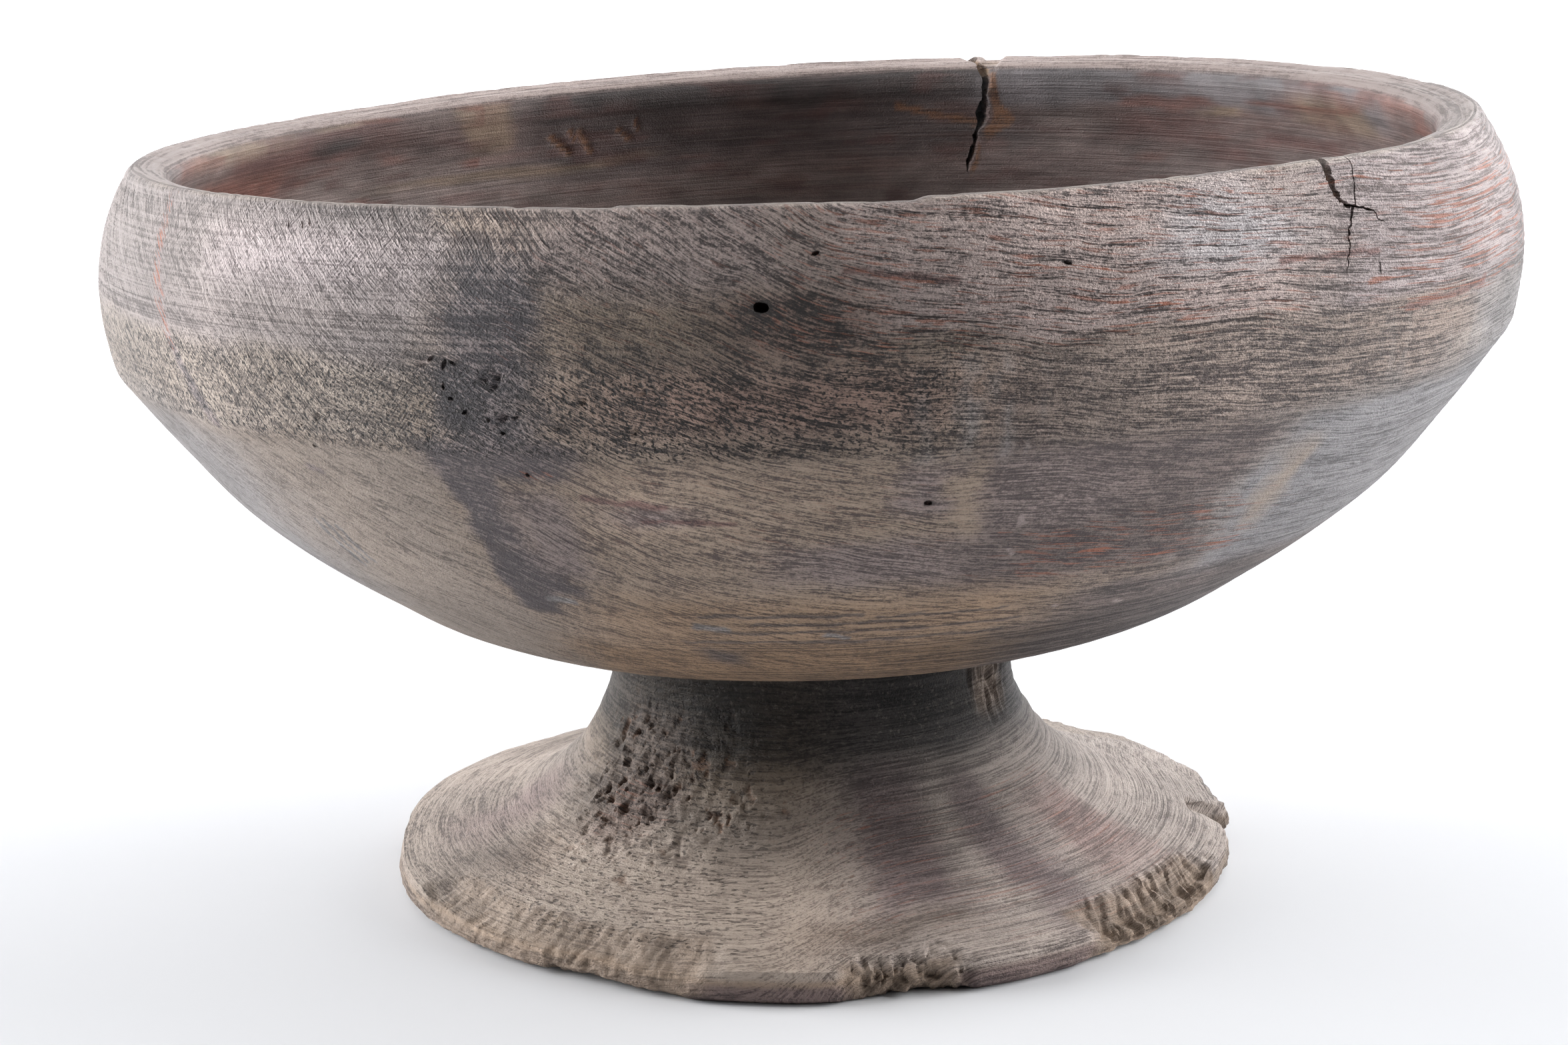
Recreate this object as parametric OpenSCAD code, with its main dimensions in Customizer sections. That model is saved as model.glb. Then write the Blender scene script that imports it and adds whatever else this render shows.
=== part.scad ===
// Footed bowl carved from one block of wood: a wide bowl with a rolled-in rim, standing on a flared foot.
// Drying has pulled the bowl out of round, set it leaning on its foot and cracked its rim.
// The origin is on the floor under the middle of the bowl and +Z is up.
// The loose chip is at the front right, between -Y and +X.

/* [Bowl] */
// Radius of the bowl at its widest
belly_r = 170; // [160:1:180]
// Height of the rim above the floor
rim_z = 190; // [184:1:196]
// Thickness of the wall
wall = 11.5; // [10:0.5:12.5]
// Thickness of the bowl's floor over the neck
floor_t = 14; // [12:0.5:16]

/* [Foot] */
// Radius of the foot at its edge
foot_r = 109; // [104:1:114]
// Thickness of the foot's edge
edge_t = 8; // [6:0.5:10]
// Radius of the neck where it meets the bowl
neck_r = 52; // [48:1:54]
// Height of the bowl's seat on the neck
neck_z = 62; // [58:1:66]
// Depth of the hollow under the foot
dish = 4; // [2:0.5:6]

/* [Warp] */
// Share of its radius by which the bowl is out of round
oval = 0.037; // [0:0.001:0.045]
// Direction of the bowl's long axis, in degrees from +X
oval_dir = -35; // [-90:5:90]
// Lean that lifts the right side of the rim, in degrees
lean_right = 1.5; // [0:0.1:2]
// Lean that lifts the back of the rim, in degrees
lean_back = 1.7; // [0:0.1:2]
// How far drying has lifted two opposite quarters of the rim and sunk the others
saddle = 1.2; // [0:0.1:2]
// Direction of one lifted quarter, in degrees from +X
saddle_dir = 62; // [0:1:90]

/* [Cracks] */
// Direction of the loose chip in the rim, in degrees from +X
chip_dir = -49.2; // [-80:0.1:-20]
// Width of the open crack on the left of the chip
chip_gap = 1.4; // [0.8:0.1:1.8]
// Width of the hairline cracks
hairline = 0.4; // [0.3:0.1:0.6]
// Direction of the crack through the back wall, in degrees from +X
back_dir = 67; // [50:1:90]
// Width of the crack through the back wall
back_gap = 4; // [3:0.5:5]

/* [Hidden] */

bowl_brown = [0.36, 0.30, 0.26];
chip_brown = [0.46, 0.36, 0.29];
foot_brown = [0.45, 0.39, 0.34];

neck_at = [3, 2.5];       // middle of the neck, a little off the middle of the bowl
foot_at = [1, 2];         // middle of the foot
around = 72;              // facets round the bowl
steps = 3;                // facets on each stretch of a curve
belly_z = rim_z - 32;     // height of the widest place
band_arc = 54;            // radius of the band's bulge
shoulder_z = belly_z - 17; // crease between the band and the lower bowl
rim_round = 3;            // rounding of the rim's outer corner
lip_round = 5;            // rounding of the rim's inner lip
lip_drop = 1;             // the inner lip is this much lower than the rim
level = 12;               // the lean fades out over this height above the seat
reach = 60;               // how far a crack's cutter reaches through the wall
above = rim_z + 12;       // clear of the rim at every warp
ring_in = 0.65 * foot_r;  // inner edge of the ring that the foot rests on
notch_depth = 9;          // depth of the split in the foot's edge
notch_w = 6;              // its width at the edge
notch_dir = -4.5;         // its direction, in degrees from +X
join_z = rim_z - 9.2;     // height at which the cracks beside the chip meet

// A smooth curve through the points p, with n steps on each stretch.
function spline(p, n) = concat([for (i = [0 : len(p) - 2], j = [0 : n - 1])
    let (a = p[max(i - 1, 0)], b = p[i], c = p[i + 1], d = p[min(i + 2, len(p) - 1)], t = j / n)
    (2 * b + (c - a) * t + (2 * a - 5 * b + 4 * c - d) * t * t + (3 * b - a - 3 * c + d) * t * t * t) / 2],
    [p[len(p) - 1]]);

// Points on an arc about c, from angle a to angle b.
function arc(c, r, a, b, n) = [for (i = [0 : n]) let (t = a + (b - a) * i / n) c + r * [cos(t), sin(t)]];

// The sideways unit normal of the outline p at point i, to its left.
function normal_at(p, i) =
    let (d = p[min(i + 1, len(p) - 1)] - p[max(i - 1, 0)])
    [-d[1], d[0]] / norm(d);

// Outlines as [radius, height].
height = rim_z - neck_z;
band_c = [belly_r - band_arc, belly_z];
shoulder_a = asin((shoulder_z - belly_z) / band_arc);
rim_a = asin((rim_z - rim_round - belly_z) / band_arc);
shoulder = band_c + band_arc * [cos(shoulder_a), sin(shoulder_a)];
underside = spline([
    [neck_r, neck_z],
    [0.555 * belly_r, neck_z + 0.095 * height],
    [0.690 * belly_r, neck_z + 0.200 * height],
    [0.826 * belly_r, neck_z + 0.345 * height],
    [0.915 * belly_r, neck_z + 0.490 * height],
    shoulder], steps);
band = arc(band_c, band_arc, shoulder_a, rim_a, 3 * steps);
outer = concat(underside, [for (i = [1 : len(band) - 1]) band[i]]);
inner = [for (i = [len(outer) - 3 : -2 : 2]) outer[i] + wall * normal_at(outer, i)];
rim_edge = band[len(band) - 1];
lip_r = inner[0][0] - lip_drop;
rim = concat(
    arc(rim_edge - [rim_round, 0], rim_round, 20, 90, steps),
    arc([lip_r + lip_round, rim_z - lip_drop - lip_round], lip_round, 90, 170, steps));
bowl_section = concat(outer, rim, inner, [[neck_r / 2, neck_z + floor_t + 0.5]]);

// Height fraction from 0 at the seat to 1 where the full lean starts.
function risen(z) = min(max((z - neck_z) / level, 0), 1);

// Puts a point of the turned shape, at radius r, direction a and height z, where drying has moved it.
function warped(r, a, z) =
    let (k = risen(z),
         wr = r * (1 + oval * k * cos(2 * (a - oval_dir))),
         x = wr * cos(a), y = wr * sin(a), up = z - neck_z)
    [x - up * sin(lean_right) + neck_at[0],
     y - up * sin(lean_back) + neck_at[1],
     z + k * (x * sin(lean_right) + y * sin(lean_back))
       + saddle * pow(max(up, 0) / height, 2) * cos(2 * (a - saddle_dir))];

// The bowl without its cracks: rings of points from the seat, over the rim, to the bowl's floor.
module bowl_shell() {
    rings = len(bowl_section);
    last = rings * around;
    points = concat(
        [for (s = bowl_section, j = [0 : around - 1]) warped(s[0], 360 * j / around, s[1])],
        [warped(0, 0, neck_z), warped(0, 0, neck_z + floor_t)]);
    sides = [for (i = [0 : rings - 2], j = [0 : around - 1])
        let (a = i * around + j, b = i * around + (j + 1) % around, c = b + around, d = a + around)
        each [[a, c, b], [a, d, c]]];
    seat = [for (j = [0 : around - 1]) [last, j, (j + 1) % around]];
    top = (rings - 1) * around;
    bottom = [for (j = [0 : around - 1]) [last + 1, top + (j + 1) % around, top + j]];
    polyhedron(points, concat(sides, seat, bottom), convexity = 8);
}

// Carries a flat cutter, drawn as [sideways, height], out to the wall in the direction dir.
module through_wall(dir) {
    rotate([0, 0, dir - 90]) translate([0, belly_r + reach / 3, 0]) rotate([90, 0, 0])
        linear_extrude(reach) children();
}

// A crack along the points p, each [sideways, height, width].
module crack(p) {
    polygon(concat(
        [for (q = p) [-q[0] - q[2] / 2, q[1]]],
        [for (i = [len(p) - 1 : -1 : 0]) [-p[i][0] + p[i][2] / 2, p[i][1]]]));
}

// The hole that the chip lies in and the chip itself, as outlines of [sideways to the right, height].
chip_bed = [
    [-3.2, above], [-3.2, rim_z - 1], [-4, rim_z - 5], [-3.6, rim_z - 7.5], [-1.6, join_z],
    [0.4, join_z], [2.8, rim_z - 5.2], [4.6, rim_z - 2.6], [5.4, above]];
chip = [
    [-3.2 + 1.4 * chip_gap, above], [-3.2 + 1.4 * chip_gap, rim_z - 1], [-4 + chip_gap, rim_z - 5],
    [-3.4 + 0.8 * chip_gap, rim_z - 7], [-1.4, join_z + hairline], [0.4 - hairline, join_z + hairline],
    [2.8 - hairline, rim_z - 5.2], [4.6 - hairline, rim_z - 2.6], [5.4 - hairline, above]];
crack_down = [
    [0, rim_z - 9, hairline], [-2, rim_z - 11.5, hairline], [-4.3, rim_z - 15, hairline],
    [-6.2, rim_z - 19.5, hairline], [-7.2, rim_z - 22, 0]];
crack_right = [
    [0, rim_z - 9, hairline], [3, rim_z - 9.8, hairline], [5.8, rim_z - 10.6, hairline],
    [6.2, rim_z - 12.6, hairline], [8, rim_z - 13.6, 0]];
crack_back = [
    [0.5, above, 1.2 * back_gap], [0, rim_z - 8, back_gap], [-0.8, rim_z - 13, 0.8 * back_gap],
    [0.4, rim_z - 17, back_gap], [0.4, rim_z - 20, 0.6 * back_gap], [2, rim_z - 23, 0.4 * back_gap],
    [3, rim_z - 28, 0.6 * back_gap], [3.5, rim_z - 32, 0]];

module bowl() {
    color(bowl_brown) difference() {
        bowl_shell();
        through_wall(chip_dir) {
            mirror([1, 0]) polygon(chip_bed);
            crack(crack_down);
            crack(crack_right);
        }
        through_wall(back_dir) crack(crack_back);
    }
}

module rim_chip() {
    color(chip_brown) intersection() {
        bowl_shell();
        through_wall(chip_dir) mirror([1, 0]) polygon(chip);
    }
}

// Top of the foot, from its edge up to the neck.
flare = spline([
    [foot_r - 1, edge_t],
    [0.86 * foot_r, edge_t + 4],
    [0.70 * foot_r, edge_t + 10],
    [0.56 * foot_r, neck_z - 32],
    [neck_r - 0.5, neck_z - 14],
    [neck_r, neck_z]], steps);
foot_section = concat(
    [[0, dish], [ring_in - 10, dish], [ring_in, 0], [foot_r - 2, 0], [foot_r, 2]],
    flare, [[0, neck_z]]);

module foot() {
    color(foot_brown) translate(foot_at) difference() {
        rotate_extrude($fn = 96) polygon(foot_section);
        rotate([0, 0, notch_dir]) translate([foot_r - notch_depth, 0, -1]) linear_extrude(2 * edge_t)
            polygon([[0, 0], [notch_depth + 2, notch_w], [notch_depth + 2, -notch_w / 3]]);
    }
}

bowl();
rim_chip();
foot();
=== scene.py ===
"""The looks of the footed wooden bowl: a weathered bowl with a cracked rim, its foot, and the loose chip.

Lengths are millimetres until a mesh is made, and Blender's metres after that.
A place round the bowl is its angle from the front (-Y), in degrees, growing towards the right (+X).
"""

import math

import bmesh
import bpy
import numpy as np
from mathutils import Matrix, Vector


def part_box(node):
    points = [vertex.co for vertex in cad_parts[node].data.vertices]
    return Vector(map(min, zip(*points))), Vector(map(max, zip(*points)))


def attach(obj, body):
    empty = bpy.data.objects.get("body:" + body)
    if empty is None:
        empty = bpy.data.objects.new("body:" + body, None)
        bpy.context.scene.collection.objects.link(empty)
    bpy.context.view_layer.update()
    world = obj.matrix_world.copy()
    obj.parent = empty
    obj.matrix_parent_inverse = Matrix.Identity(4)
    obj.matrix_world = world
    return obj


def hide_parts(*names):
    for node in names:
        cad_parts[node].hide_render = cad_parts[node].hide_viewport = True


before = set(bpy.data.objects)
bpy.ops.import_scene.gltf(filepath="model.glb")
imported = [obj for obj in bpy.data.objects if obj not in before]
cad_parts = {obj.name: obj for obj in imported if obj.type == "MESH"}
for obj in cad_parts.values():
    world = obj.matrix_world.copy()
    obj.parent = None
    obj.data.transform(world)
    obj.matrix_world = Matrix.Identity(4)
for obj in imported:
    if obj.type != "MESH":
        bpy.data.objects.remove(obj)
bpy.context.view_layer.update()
MM = 0.001

# ---------------------------------------------------------------- sizes, from the CAD boxes
bowl_lo, bowl_hi = (np.array(v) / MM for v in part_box("bowl"))
foot_lo, foot_hi = (np.array(v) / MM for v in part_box("foot"))

WARPED_WIDER = 1.0145  # how much wider the warped bowl's box is than the turned bowl
RIM_LIFT = 7.2  # how far the lean lifts the highest point of the rim
BELLY_R = (bowl_hi[0] - bowl_lo[0]) / 2 / WARPED_WIDER
RIM_Z = bowl_hi[2] - RIM_LIFT
NECK_Z = bowl_lo[2]
FOOT_R = (foot_hi[1] - foot_lo[1]) / 2
# The next values are the driving dimensions of part.scad. Its directions count from +X, so 90 is added.
EDGE_T = 8
NECK_R = 52
WALL = 11.5
FLOOR_T = 14
DISH = 4
LEVEL = 12  # the lean and the oval grow to their full size over this height above the seat
OVAL, OVAL_DIR = 0.037, -35 + 90
LEAN_RIGHT, LEAN_BACK = math.radians(1.5), math.radians(1.7)
SADDLE, SADDLE_DIR = 1.2, 62 + 90
NECK_AT = np.array([3.0, 2.5])
FOOT_AT = np.array([1.0, 2.0])
BAND_ARC = 54  # radius of the band's bulge
BELLY_Z = RIM_Z - 32
SHOULDER_Z = BELLY_Z - 17
HEIGHT = RIM_Z - NECK_Z

COLUMNS = 1040
OUTSIDE_STEP = 0.65
INSIDE_STEP = 1.5


# ---------------------------------------------------------------- small tools
def ramp(lo, hi, x):
    """0 below lo, 1 above hi, and smooth between."""
    t = np.clip((x - lo) / (hi - lo), 0, 1)
    return t * t * (3 - 2 * t)


def bump(x, middle, width):
    """A soft hill, 1 at the middle and near 0 beyond the width on both sides."""
    return np.exp(-(((x - middle) / (width * 0.6)) ** 2))


def turn_to(a, b):
    """How far the angle a lies beyond b, from -180 to 180."""
    return (a - b + 180) % 360 - 180


LATTICE = np.random.default_rng(11).uniform(-1, 1, 64**3).astype(np.float32)


def noise(p, size, seed, octaves=1):
    """A smooth random field at the points p, from about -1 to 1, with lumps of the given size."""
    q = p / np.asarray(size, np.float32) + seed * np.array([17.3, 29.1, 43.7])
    total, share = 0, 1
    for _ in range(octaves):
        cell = np.floor(q).astype(np.int64)
        f = (q - cell).astype(np.float32)
        f = f * f * (3 - 2 * f)
        for k in range(8):
            step = (k & 1, k >> 1 & 1, k >> 2)
            at = [(cell[..., n] + step[n]) & 63 for n in range(3)]
            part = [f[..., n] if step[n] else 1 - f[..., n] for n in range(3)]
            total = total + share * part[0] * part[1] * part[2] * LATTICE[(at[0] * 64 + at[1]) * 64 + at[2]]
        q, share = q * 2.03 + 5.7, share / 2
    return total


def spline(points, n=24):
    """A smooth curve through the points."""
    p = np.array(points, float)
    p = np.vstack([2 * p[0] - p[1], p, 2 * p[-1] - p[-2]])
    t = (np.arange(n) / n)[:, None]
    rows = [
        (2 * b + (c - a) * t + (2 * a - 5 * b + 4 * c - d) * t**2 + (3 * b - a - 3 * c + d) * t**3) / 2
        for a, b, c, d in zip(p, p[1:], p[2:], p[3:])
    ]
    return np.vstack(rows + [p[-2:-1]])


def arc(middle, radius, start, end, n):
    """n points on an arc, from one angle to another."""
    t = np.radians(np.linspace(start, end, n))
    return np.array(middle) + radius * np.column_stack([np.cos(t), np.sin(t)])


def resample(line, step):
    """Points along the line at an even step."""
    s = np.r_[0, np.cumsum(np.hypot(*np.diff(line, axis=0).T))]
    t = np.linspace(0, s[-1], max(int(round(s[-1] / step)), 2) + 1)
    return np.column_stack([np.interp(t, s, line[:, 0]), np.interp(t, s, line[:, 1])])


def normals(line):
    """The unit normals on the left of a line of [radius, height] points."""
    d = np.gradient(line, axis=0)
    return np.column_stack([d[:, 1], -d[:, 0]]) / np.hypot(*d.T)[:, None]


# ---------------------------------------------------------------- the turned shape
band_mid = (BELLY_R - BAND_ARC, BELLY_Z)
shoulder_a = math.degrees(math.asin((SHOULDER_Z - BELLY_Z) / BAND_ARC))
RIM_ROUND, LIP_ROUND, LIP_DROP = 3, 5, 1
rim_a = math.degrees(math.asin((RIM_Z - RIM_ROUND - BELLY_Z) / BAND_ARC))
band = arc(band_mid, BAND_ARC, shoulder_a, rim_a, 60)
underside = spline(
    [
        (NECK_R, NECK_Z),
        (0.555 * BELLY_R, NECK_Z + 0.095 * HEIGHT),
        (0.690 * BELLY_R, NECK_Z + 0.200 * HEIGHT),
        (0.826 * BELLY_R, NECK_Z + 0.345 * HEIGHT),
        (0.915 * BELLY_R, NECK_Z + 0.490 * HEIGHT),
        tuple(band[0]),
    ]
)
outer_line = np.vstack([underside, band[1:]])
inner_line = outer_line - WALL * normals(outer_line)
# below the floor's edge the inside is a shallow dish down to the middle
inner_line = inner_line[inner_line[:, 1] > NECK_Z + FLOOR_T + 1.5]
rim_edge = band[-1]
lip_r = inner_line[-1][0] - LIP_DROP
rim_line = np.vstack(
    [
        arc(rim_edge - (RIM_ROUND, 0), RIM_ROUND, 20, 90, 8),
        arc((lip_r + LIP_ROUND, RIM_Z - LIP_DROP - LIP_ROUND), LIP_ROUND, 90, 170, 10),
    ]
)
floor_line = spline([(NECK_R / 2, NECK_Z + FLOOR_T + 0.5), tuple(inner_line[0])], 12)[:-1]
inner_line = np.vstack([inner_line[::-1], floor_line[::-1]])

# Where the outside and the inside lie, looked up by radius and height.
LOOK = 1.0
grid_r, grid_z = np.meshgrid(np.arange(0, 190, LOOK), np.arange(50, 205, LOOK), indexing="ij")


def distance_table(line):
    """How far every place of the grid is from a line of [radius, height] points."""
    d = np.full(grid_r.shape, 1e9)
    for r, z in resample(line, 1.5):
        d = np.minimum(d, np.hypot(grid_r - r, grid_z - z))
    return d


from_outside = distance_table(outer_line)
from_inside = distance_table(np.vstack([rim_line[-1:], inner_line, [[0, NECK_Z + FLOOR_T]]]))
from_rim = distance_table(rim_line)


def look_up(table, r, z):
    """The value of a distance table at a radius and height, smooth between its places."""
    u = np.clip(r / LOOK, 0, table.shape[0] - 1.01)
    v = np.clip((z - 50) / LOOK, 0, table.shape[1] - 1.01)
    i, j = u.astype(int), v.astype(int)
    u, v = u - i, v - j
    low = table[i, j] * (1 - v) + table[i, j + 1] * v
    high = table[i + 1, j] * (1 - v) + table[i + 1, j + 1] * v
    return low * (1 - u) + high * u


def risen(up):
    """0 at the bowl's seat and 1 where the full lean and oval start."""
    return np.clip(up / LEVEL, 0, 1)


def oval(a, up):
    """How much wider than the turned shape the bowl is at an angle and a height above its seat."""
    return 1 + OVAL * risen(up) * np.cos(2 * np.radians(a - OVAL_DIR))


def lift(x, y, up, a):
    """How far the lean and the drying lift a point."""
    lean = risen(up) * (x * math.sin(LEAN_RIGHT) + y * math.sin(LEAN_BACK))
    return lean + SADDLE * (np.maximum(up, 0) / HEIGHT) ** 2 * np.cos(2 * np.radians(a - SADDLE_DIR))


def warped(r, a, z):
    """Puts points of the turned shape where drying and carving have left them."""
    up = z - NECK_Z
    wide = r * oval(a, up)
    t = np.radians(a - 90)
    x, y = wide * np.cos(t), wide * np.sin(t)
    moved_x = x - up * math.sin(LEAN_RIGHT) + NECK_AT[0]
    moved_y = y - up * math.sin(LEAN_BACK) + NECK_AT[1]
    return np.stack([moved_x, moved_y, z + lift(x, y, up, a)], axis=-1)


def turned(p):
    """The angle, radius and height that points of the warped bowl had on the turned shape."""
    z = p[:, 2].copy()
    for _ in range(3):
        up = z - NECK_Z
        x = p[:, 0] - NECK_AT[0] + up * math.sin(LEAN_RIGHT)
        y = p[:, 1] - NECK_AT[1] + up * math.sin(LEAN_BACK)
        a = np.degrees(np.arctan2(y, x)) + 90
        z = p[:, 2] - lift(x, y, up, a)
    return turn_to(a, 0), np.hypot(x, y) / oval(a, up), z


# ---------------------------------------------------------------- the block of wood
END_GRAIN = -32  # the end of the grain faces out at this angle, at the left front
FIBRE = math.radians(END_GRAIN - 90)
ALONG = np.array([math.cos(FIBRE), math.sin(FIBRE), 0])
ACROSS = np.array([-math.sin(FIBRE), math.cos(FIBRE), 0])
PITH = (185, 460)  # middle of the growth rings, across the fibres and up


def in_wood(p):
    """Points as [along the fibres, across them, up]."""
    return np.stack([p @ ALONG, p @ ACROSS, p[..., 2]], axis=-1)


def ring_depth(w):
    """Distance from the pith, with the sway of the growth rings that follow it."""
    depth = np.hypot(w[..., 1] - PITH[0], w[..., 2] - PITH[1])
    sway = 4 * noise(w, (90, 34, 34), 3) + 1.2 * noise(w, (40, 12, 12), 4) + 0.35 * noise(w, (14, 5, 5), 5)
    return depth + sway


# ---------------------------------------------------------------- meshes
def closed_grid(points, low, high):
    """A closed mesh from rings of points, each ring going round, with one point below and one above."""
    rings, n = points.shape[:2]
    i, j = np.meshgrid(np.arange(rings - 1), np.arange(n), indexing="ij")
    a, b = i * n + j, i * n + (j + 1) % n
    quads = np.stack([a, b, b + n, a + n], axis=-1).reshape(-1, 4)
    j = np.arange(n)
    first, last = rings * n, rings * n + 1
    top = (rings - 1) * n
    tris = np.vstack(
        [
            np.column_stack([np.full(n, first), (j + 1) % n, j]),
            np.column_stack([np.full(n, last), top + j, top + (j + 1) % n]),
        ]
    )
    return np.vstack([points.reshape(-1, 3), [low, high]]), quads, tris


def turned_grid(line, columns):
    """The angle, radius and height of every point of a line that goes round in columns."""
    shape = (len(line), columns)
    angles = turn_to(np.linspace(0, 360, columns, endpoint=False), 0)
    return tuple(np.broadcast_to(v, shape) for v in (angles, line[:, :1], line[:, 1:]))


def build(name, points, quads, tris):
    """A Blender object from points in millimetres."""
    me = bpy.data.meshes.new(name)
    corners = np.concatenate([quads.ravel(), tris.ravel()]).astype(np.int32)
    starts = np.concatenate([np.arange(len(quads)) * 4, len(quads) * 4 + np.arange(len(tris)) * 3])
    me.vertices.add(len(points))
    me.vertices.foreach_set("co", (points * MM).astype(np.float32).ravel())
    me.loops.add(len(corners))
    me.loops.foreach_set("vertex_index", corners)
    me.polygons.add(len(starts))
    me.polygons.foreach_set("loop_start", starts.astype(np.int32))
    me.update(calc_edges=True)
    me.validate()
    ob = bpy.data.objects.new(name, me)
    bpy.context.scene.collection.objects.link(ob)
    return ob


def coordinates(ob):
    """The object's points in millimetres."""
    co = np.empty(len(ob.data.vertices) * 3, np.float32)
    ob.data.vertices.foreach_get("co", co)
    return co.reshape(-1, 3).astype(float) / MM


# ---------------------------------------------------------------- relief
def grain_angle(f):
    """0 where the end of the grain faces out and 1 where its side does."""
    return np.abs(np.sin(np.radians(f - END_GRAIN)))


def spot(f, z, at, half, softness):
    """A soft spot, 1 in its middle, at (angle, height), with half sizes in degrees and millimetres."""
    d = np.hypot(turn_to(f, at[0]) / half[0], (z - at[1]) / half[1])
    return ramp(1 + 0.6 * softness, 1 - 0.6 * softness, d)


def along_stroke(f, z, line, half):
    """1 near a line of (angle, height) and 0 beyond its half width in millimetres."""
    s = np.radians(f) * BELLY_R
    best = np.full(f.shape, 1e9)
    for (f0, z0), (f1, z1) in zip(line, line[1:]):
        a = np.array([math.radians(f0) * BELLY_R, z0])
        d = np.array([math.radians(f1) * BELLY_R, z1]) - a
        t = np.clip(((s - a[0]) * d[0] + (z - a[1]) * d[1]) / (d @ d), 0, 1)
        best = np.minimum(best, np.hypot(s - a[0] - t * d[0], z - a[1] - t * d[1]))
    return ramp(1.35, 0.65, best / half)


def ring_waves(w, period, seed):
    """Uneven waves that follow the growth rings, from -1 to 1."""
    phase = 1.5 * noise(w, (60, 22, 5), seed)
    strength = 0.72 + 0.4 * noise(w, (50, 20, 7), seed + 1)
    return np.sin(2 * np.pi * ring_depth(w) / period + phase) * np.clip(strength, 0, 1)


def ridge_share(f, z):
    """How strongly the ridges stand out on the outside."""
    side = grain_angle(f)
    return ramp(0.42, 0.70, side) * (0.35 + 0.65 * ramp(1.0, 0.88, side)) * ramp(158, 163, z)


def pits(p, size, share, seed):
    """0 on plain wood and down to -1 in small round pits, which take the given share of the surface."""
    n = noise(p, size, seed) * 0.75 + noise(p, np.multiply(size, 0.5), seed + 1) * 0.35
    return -ramp(0.95 - share, 1.15 - share, n)


RING_PERIOD = 2.9  # of the raised growth rings on the band
# Scars on the inner wall where slivers have flaked off, as lines of (angle, height) and half widths.
INNER_SCARS = [
    ([(-153.0, 174.4), (-155.4, 168.6)], 0.9),
    ([(-155.2, 176.0), (-155.8, 172.6)], 0.6),
    ([(-156.3, 175.0), (-157.7, 168.8)], 0.9),
    ([(-160.6, 174.8), (-162.2, 171.0)], 0.7),
    ([(-162.6, 177.4), (-163.0, 173.8)], 0.6),
]


def bowl_relief(f, z, p, place):
    """How far the bowl's surface stands out, at place 1 outside, 2 on the rim and 3 inside."""
    w = in_wood(p)
    side = grain_angle(f)
    out = 0.45 * noise(p, 80, 1) + 0.15 * noise(p, 22, 2)
    upper = ramp(140.5, 143, z) * (place == 1)
    lower = (place == 1) * (1 - upper)
    # raised growth rings where the side of the grain shows
    out += upper * ridge_share(f, z) * 0.24 * ring_waves(w, RING_PERIOD, 7)
    out += upper * (0.06 + 0.05 * side) * ring_waves(w, 1.9, 9)
    out += lower * 0.05 * ring_waves(w, 2.1, 11)
    # the tool's lines round the left of the band
    lines = noise(np.stack([w[..., 0] / 90, w[..., 1] / 90, z / 1.1], -1), 1, 15)
    out += upper * ramp(0.75, 0.3, side) * ramp(158, 163, z) * 0.1 * np.tanh(2 * lines)
    # the band stands a little proud of the lower bowl, with a worn edge
    out += 0.35 * upper * ramp(150, 141, z) + 0.12 * upper
    # open pores where the end of the grain shows
    coarse = upper * ramp(0.7, 0.3, side) * ramp(168, 156, z)
    out += (0.15 * upper + 0.55 * coarse) * pits(w, (6, 1.9, 1.9), 0.30, 17)
    stain = spot(f, z, (-24, 153), (4.5, 11), 0.5)
    out += 1.1 * upper * stain * pits(w, (9, 2.6, 2.4), 0.42, 21)
    # inside
    inner = place >= 2.5
    turned_lines = noise(np.stack([p[..., 0] / 80, p[..., 1] / 80, z / 1.3], -1), 1, 23, 2)
    out += inner * (0.09 * turned_lines + 0.2 * noise(p, 12, 25))
    for line, half in INNER_SCARS:
        out -= inner * 0.9 * along_stroke(f, z, line, half) * (0.7 + 0.5 * noise(p, 2.5, 27))
    # the rim's crest is nibbled
    crest = ramp(RIM_Z - 5, RIM_Z - 1, z)
    out -= crest * (0.12 + 0.22 * np.maximum(noise(p, 3.5, 29, 2), 0))
    return out


def rim_height(f, z):
    """How far the rim stands above its own even height."""
    up = ramp(RIM_Z - 16, RIM_Z - 1, z)
    step_right = -0.65 * ramp(-2, 6.5, f) * (1 - ramp(7.8, 8.9, f))
    step_left = -0.45 * ramp(-45, -20, f) * (1 - ramp(-13.6, -12.9, f))
    by_crack = -1.1 * ramp(154.9, 155.2, f) * (1 - ramp(157.2, 157.6, f))
    uneven = 0.25 * noise(np.stack([f / 9, 0 * f, 0 * f], -1), 1, 31, 2)
    return up * (step_right + step_left + by_crack + uneven)


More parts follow.
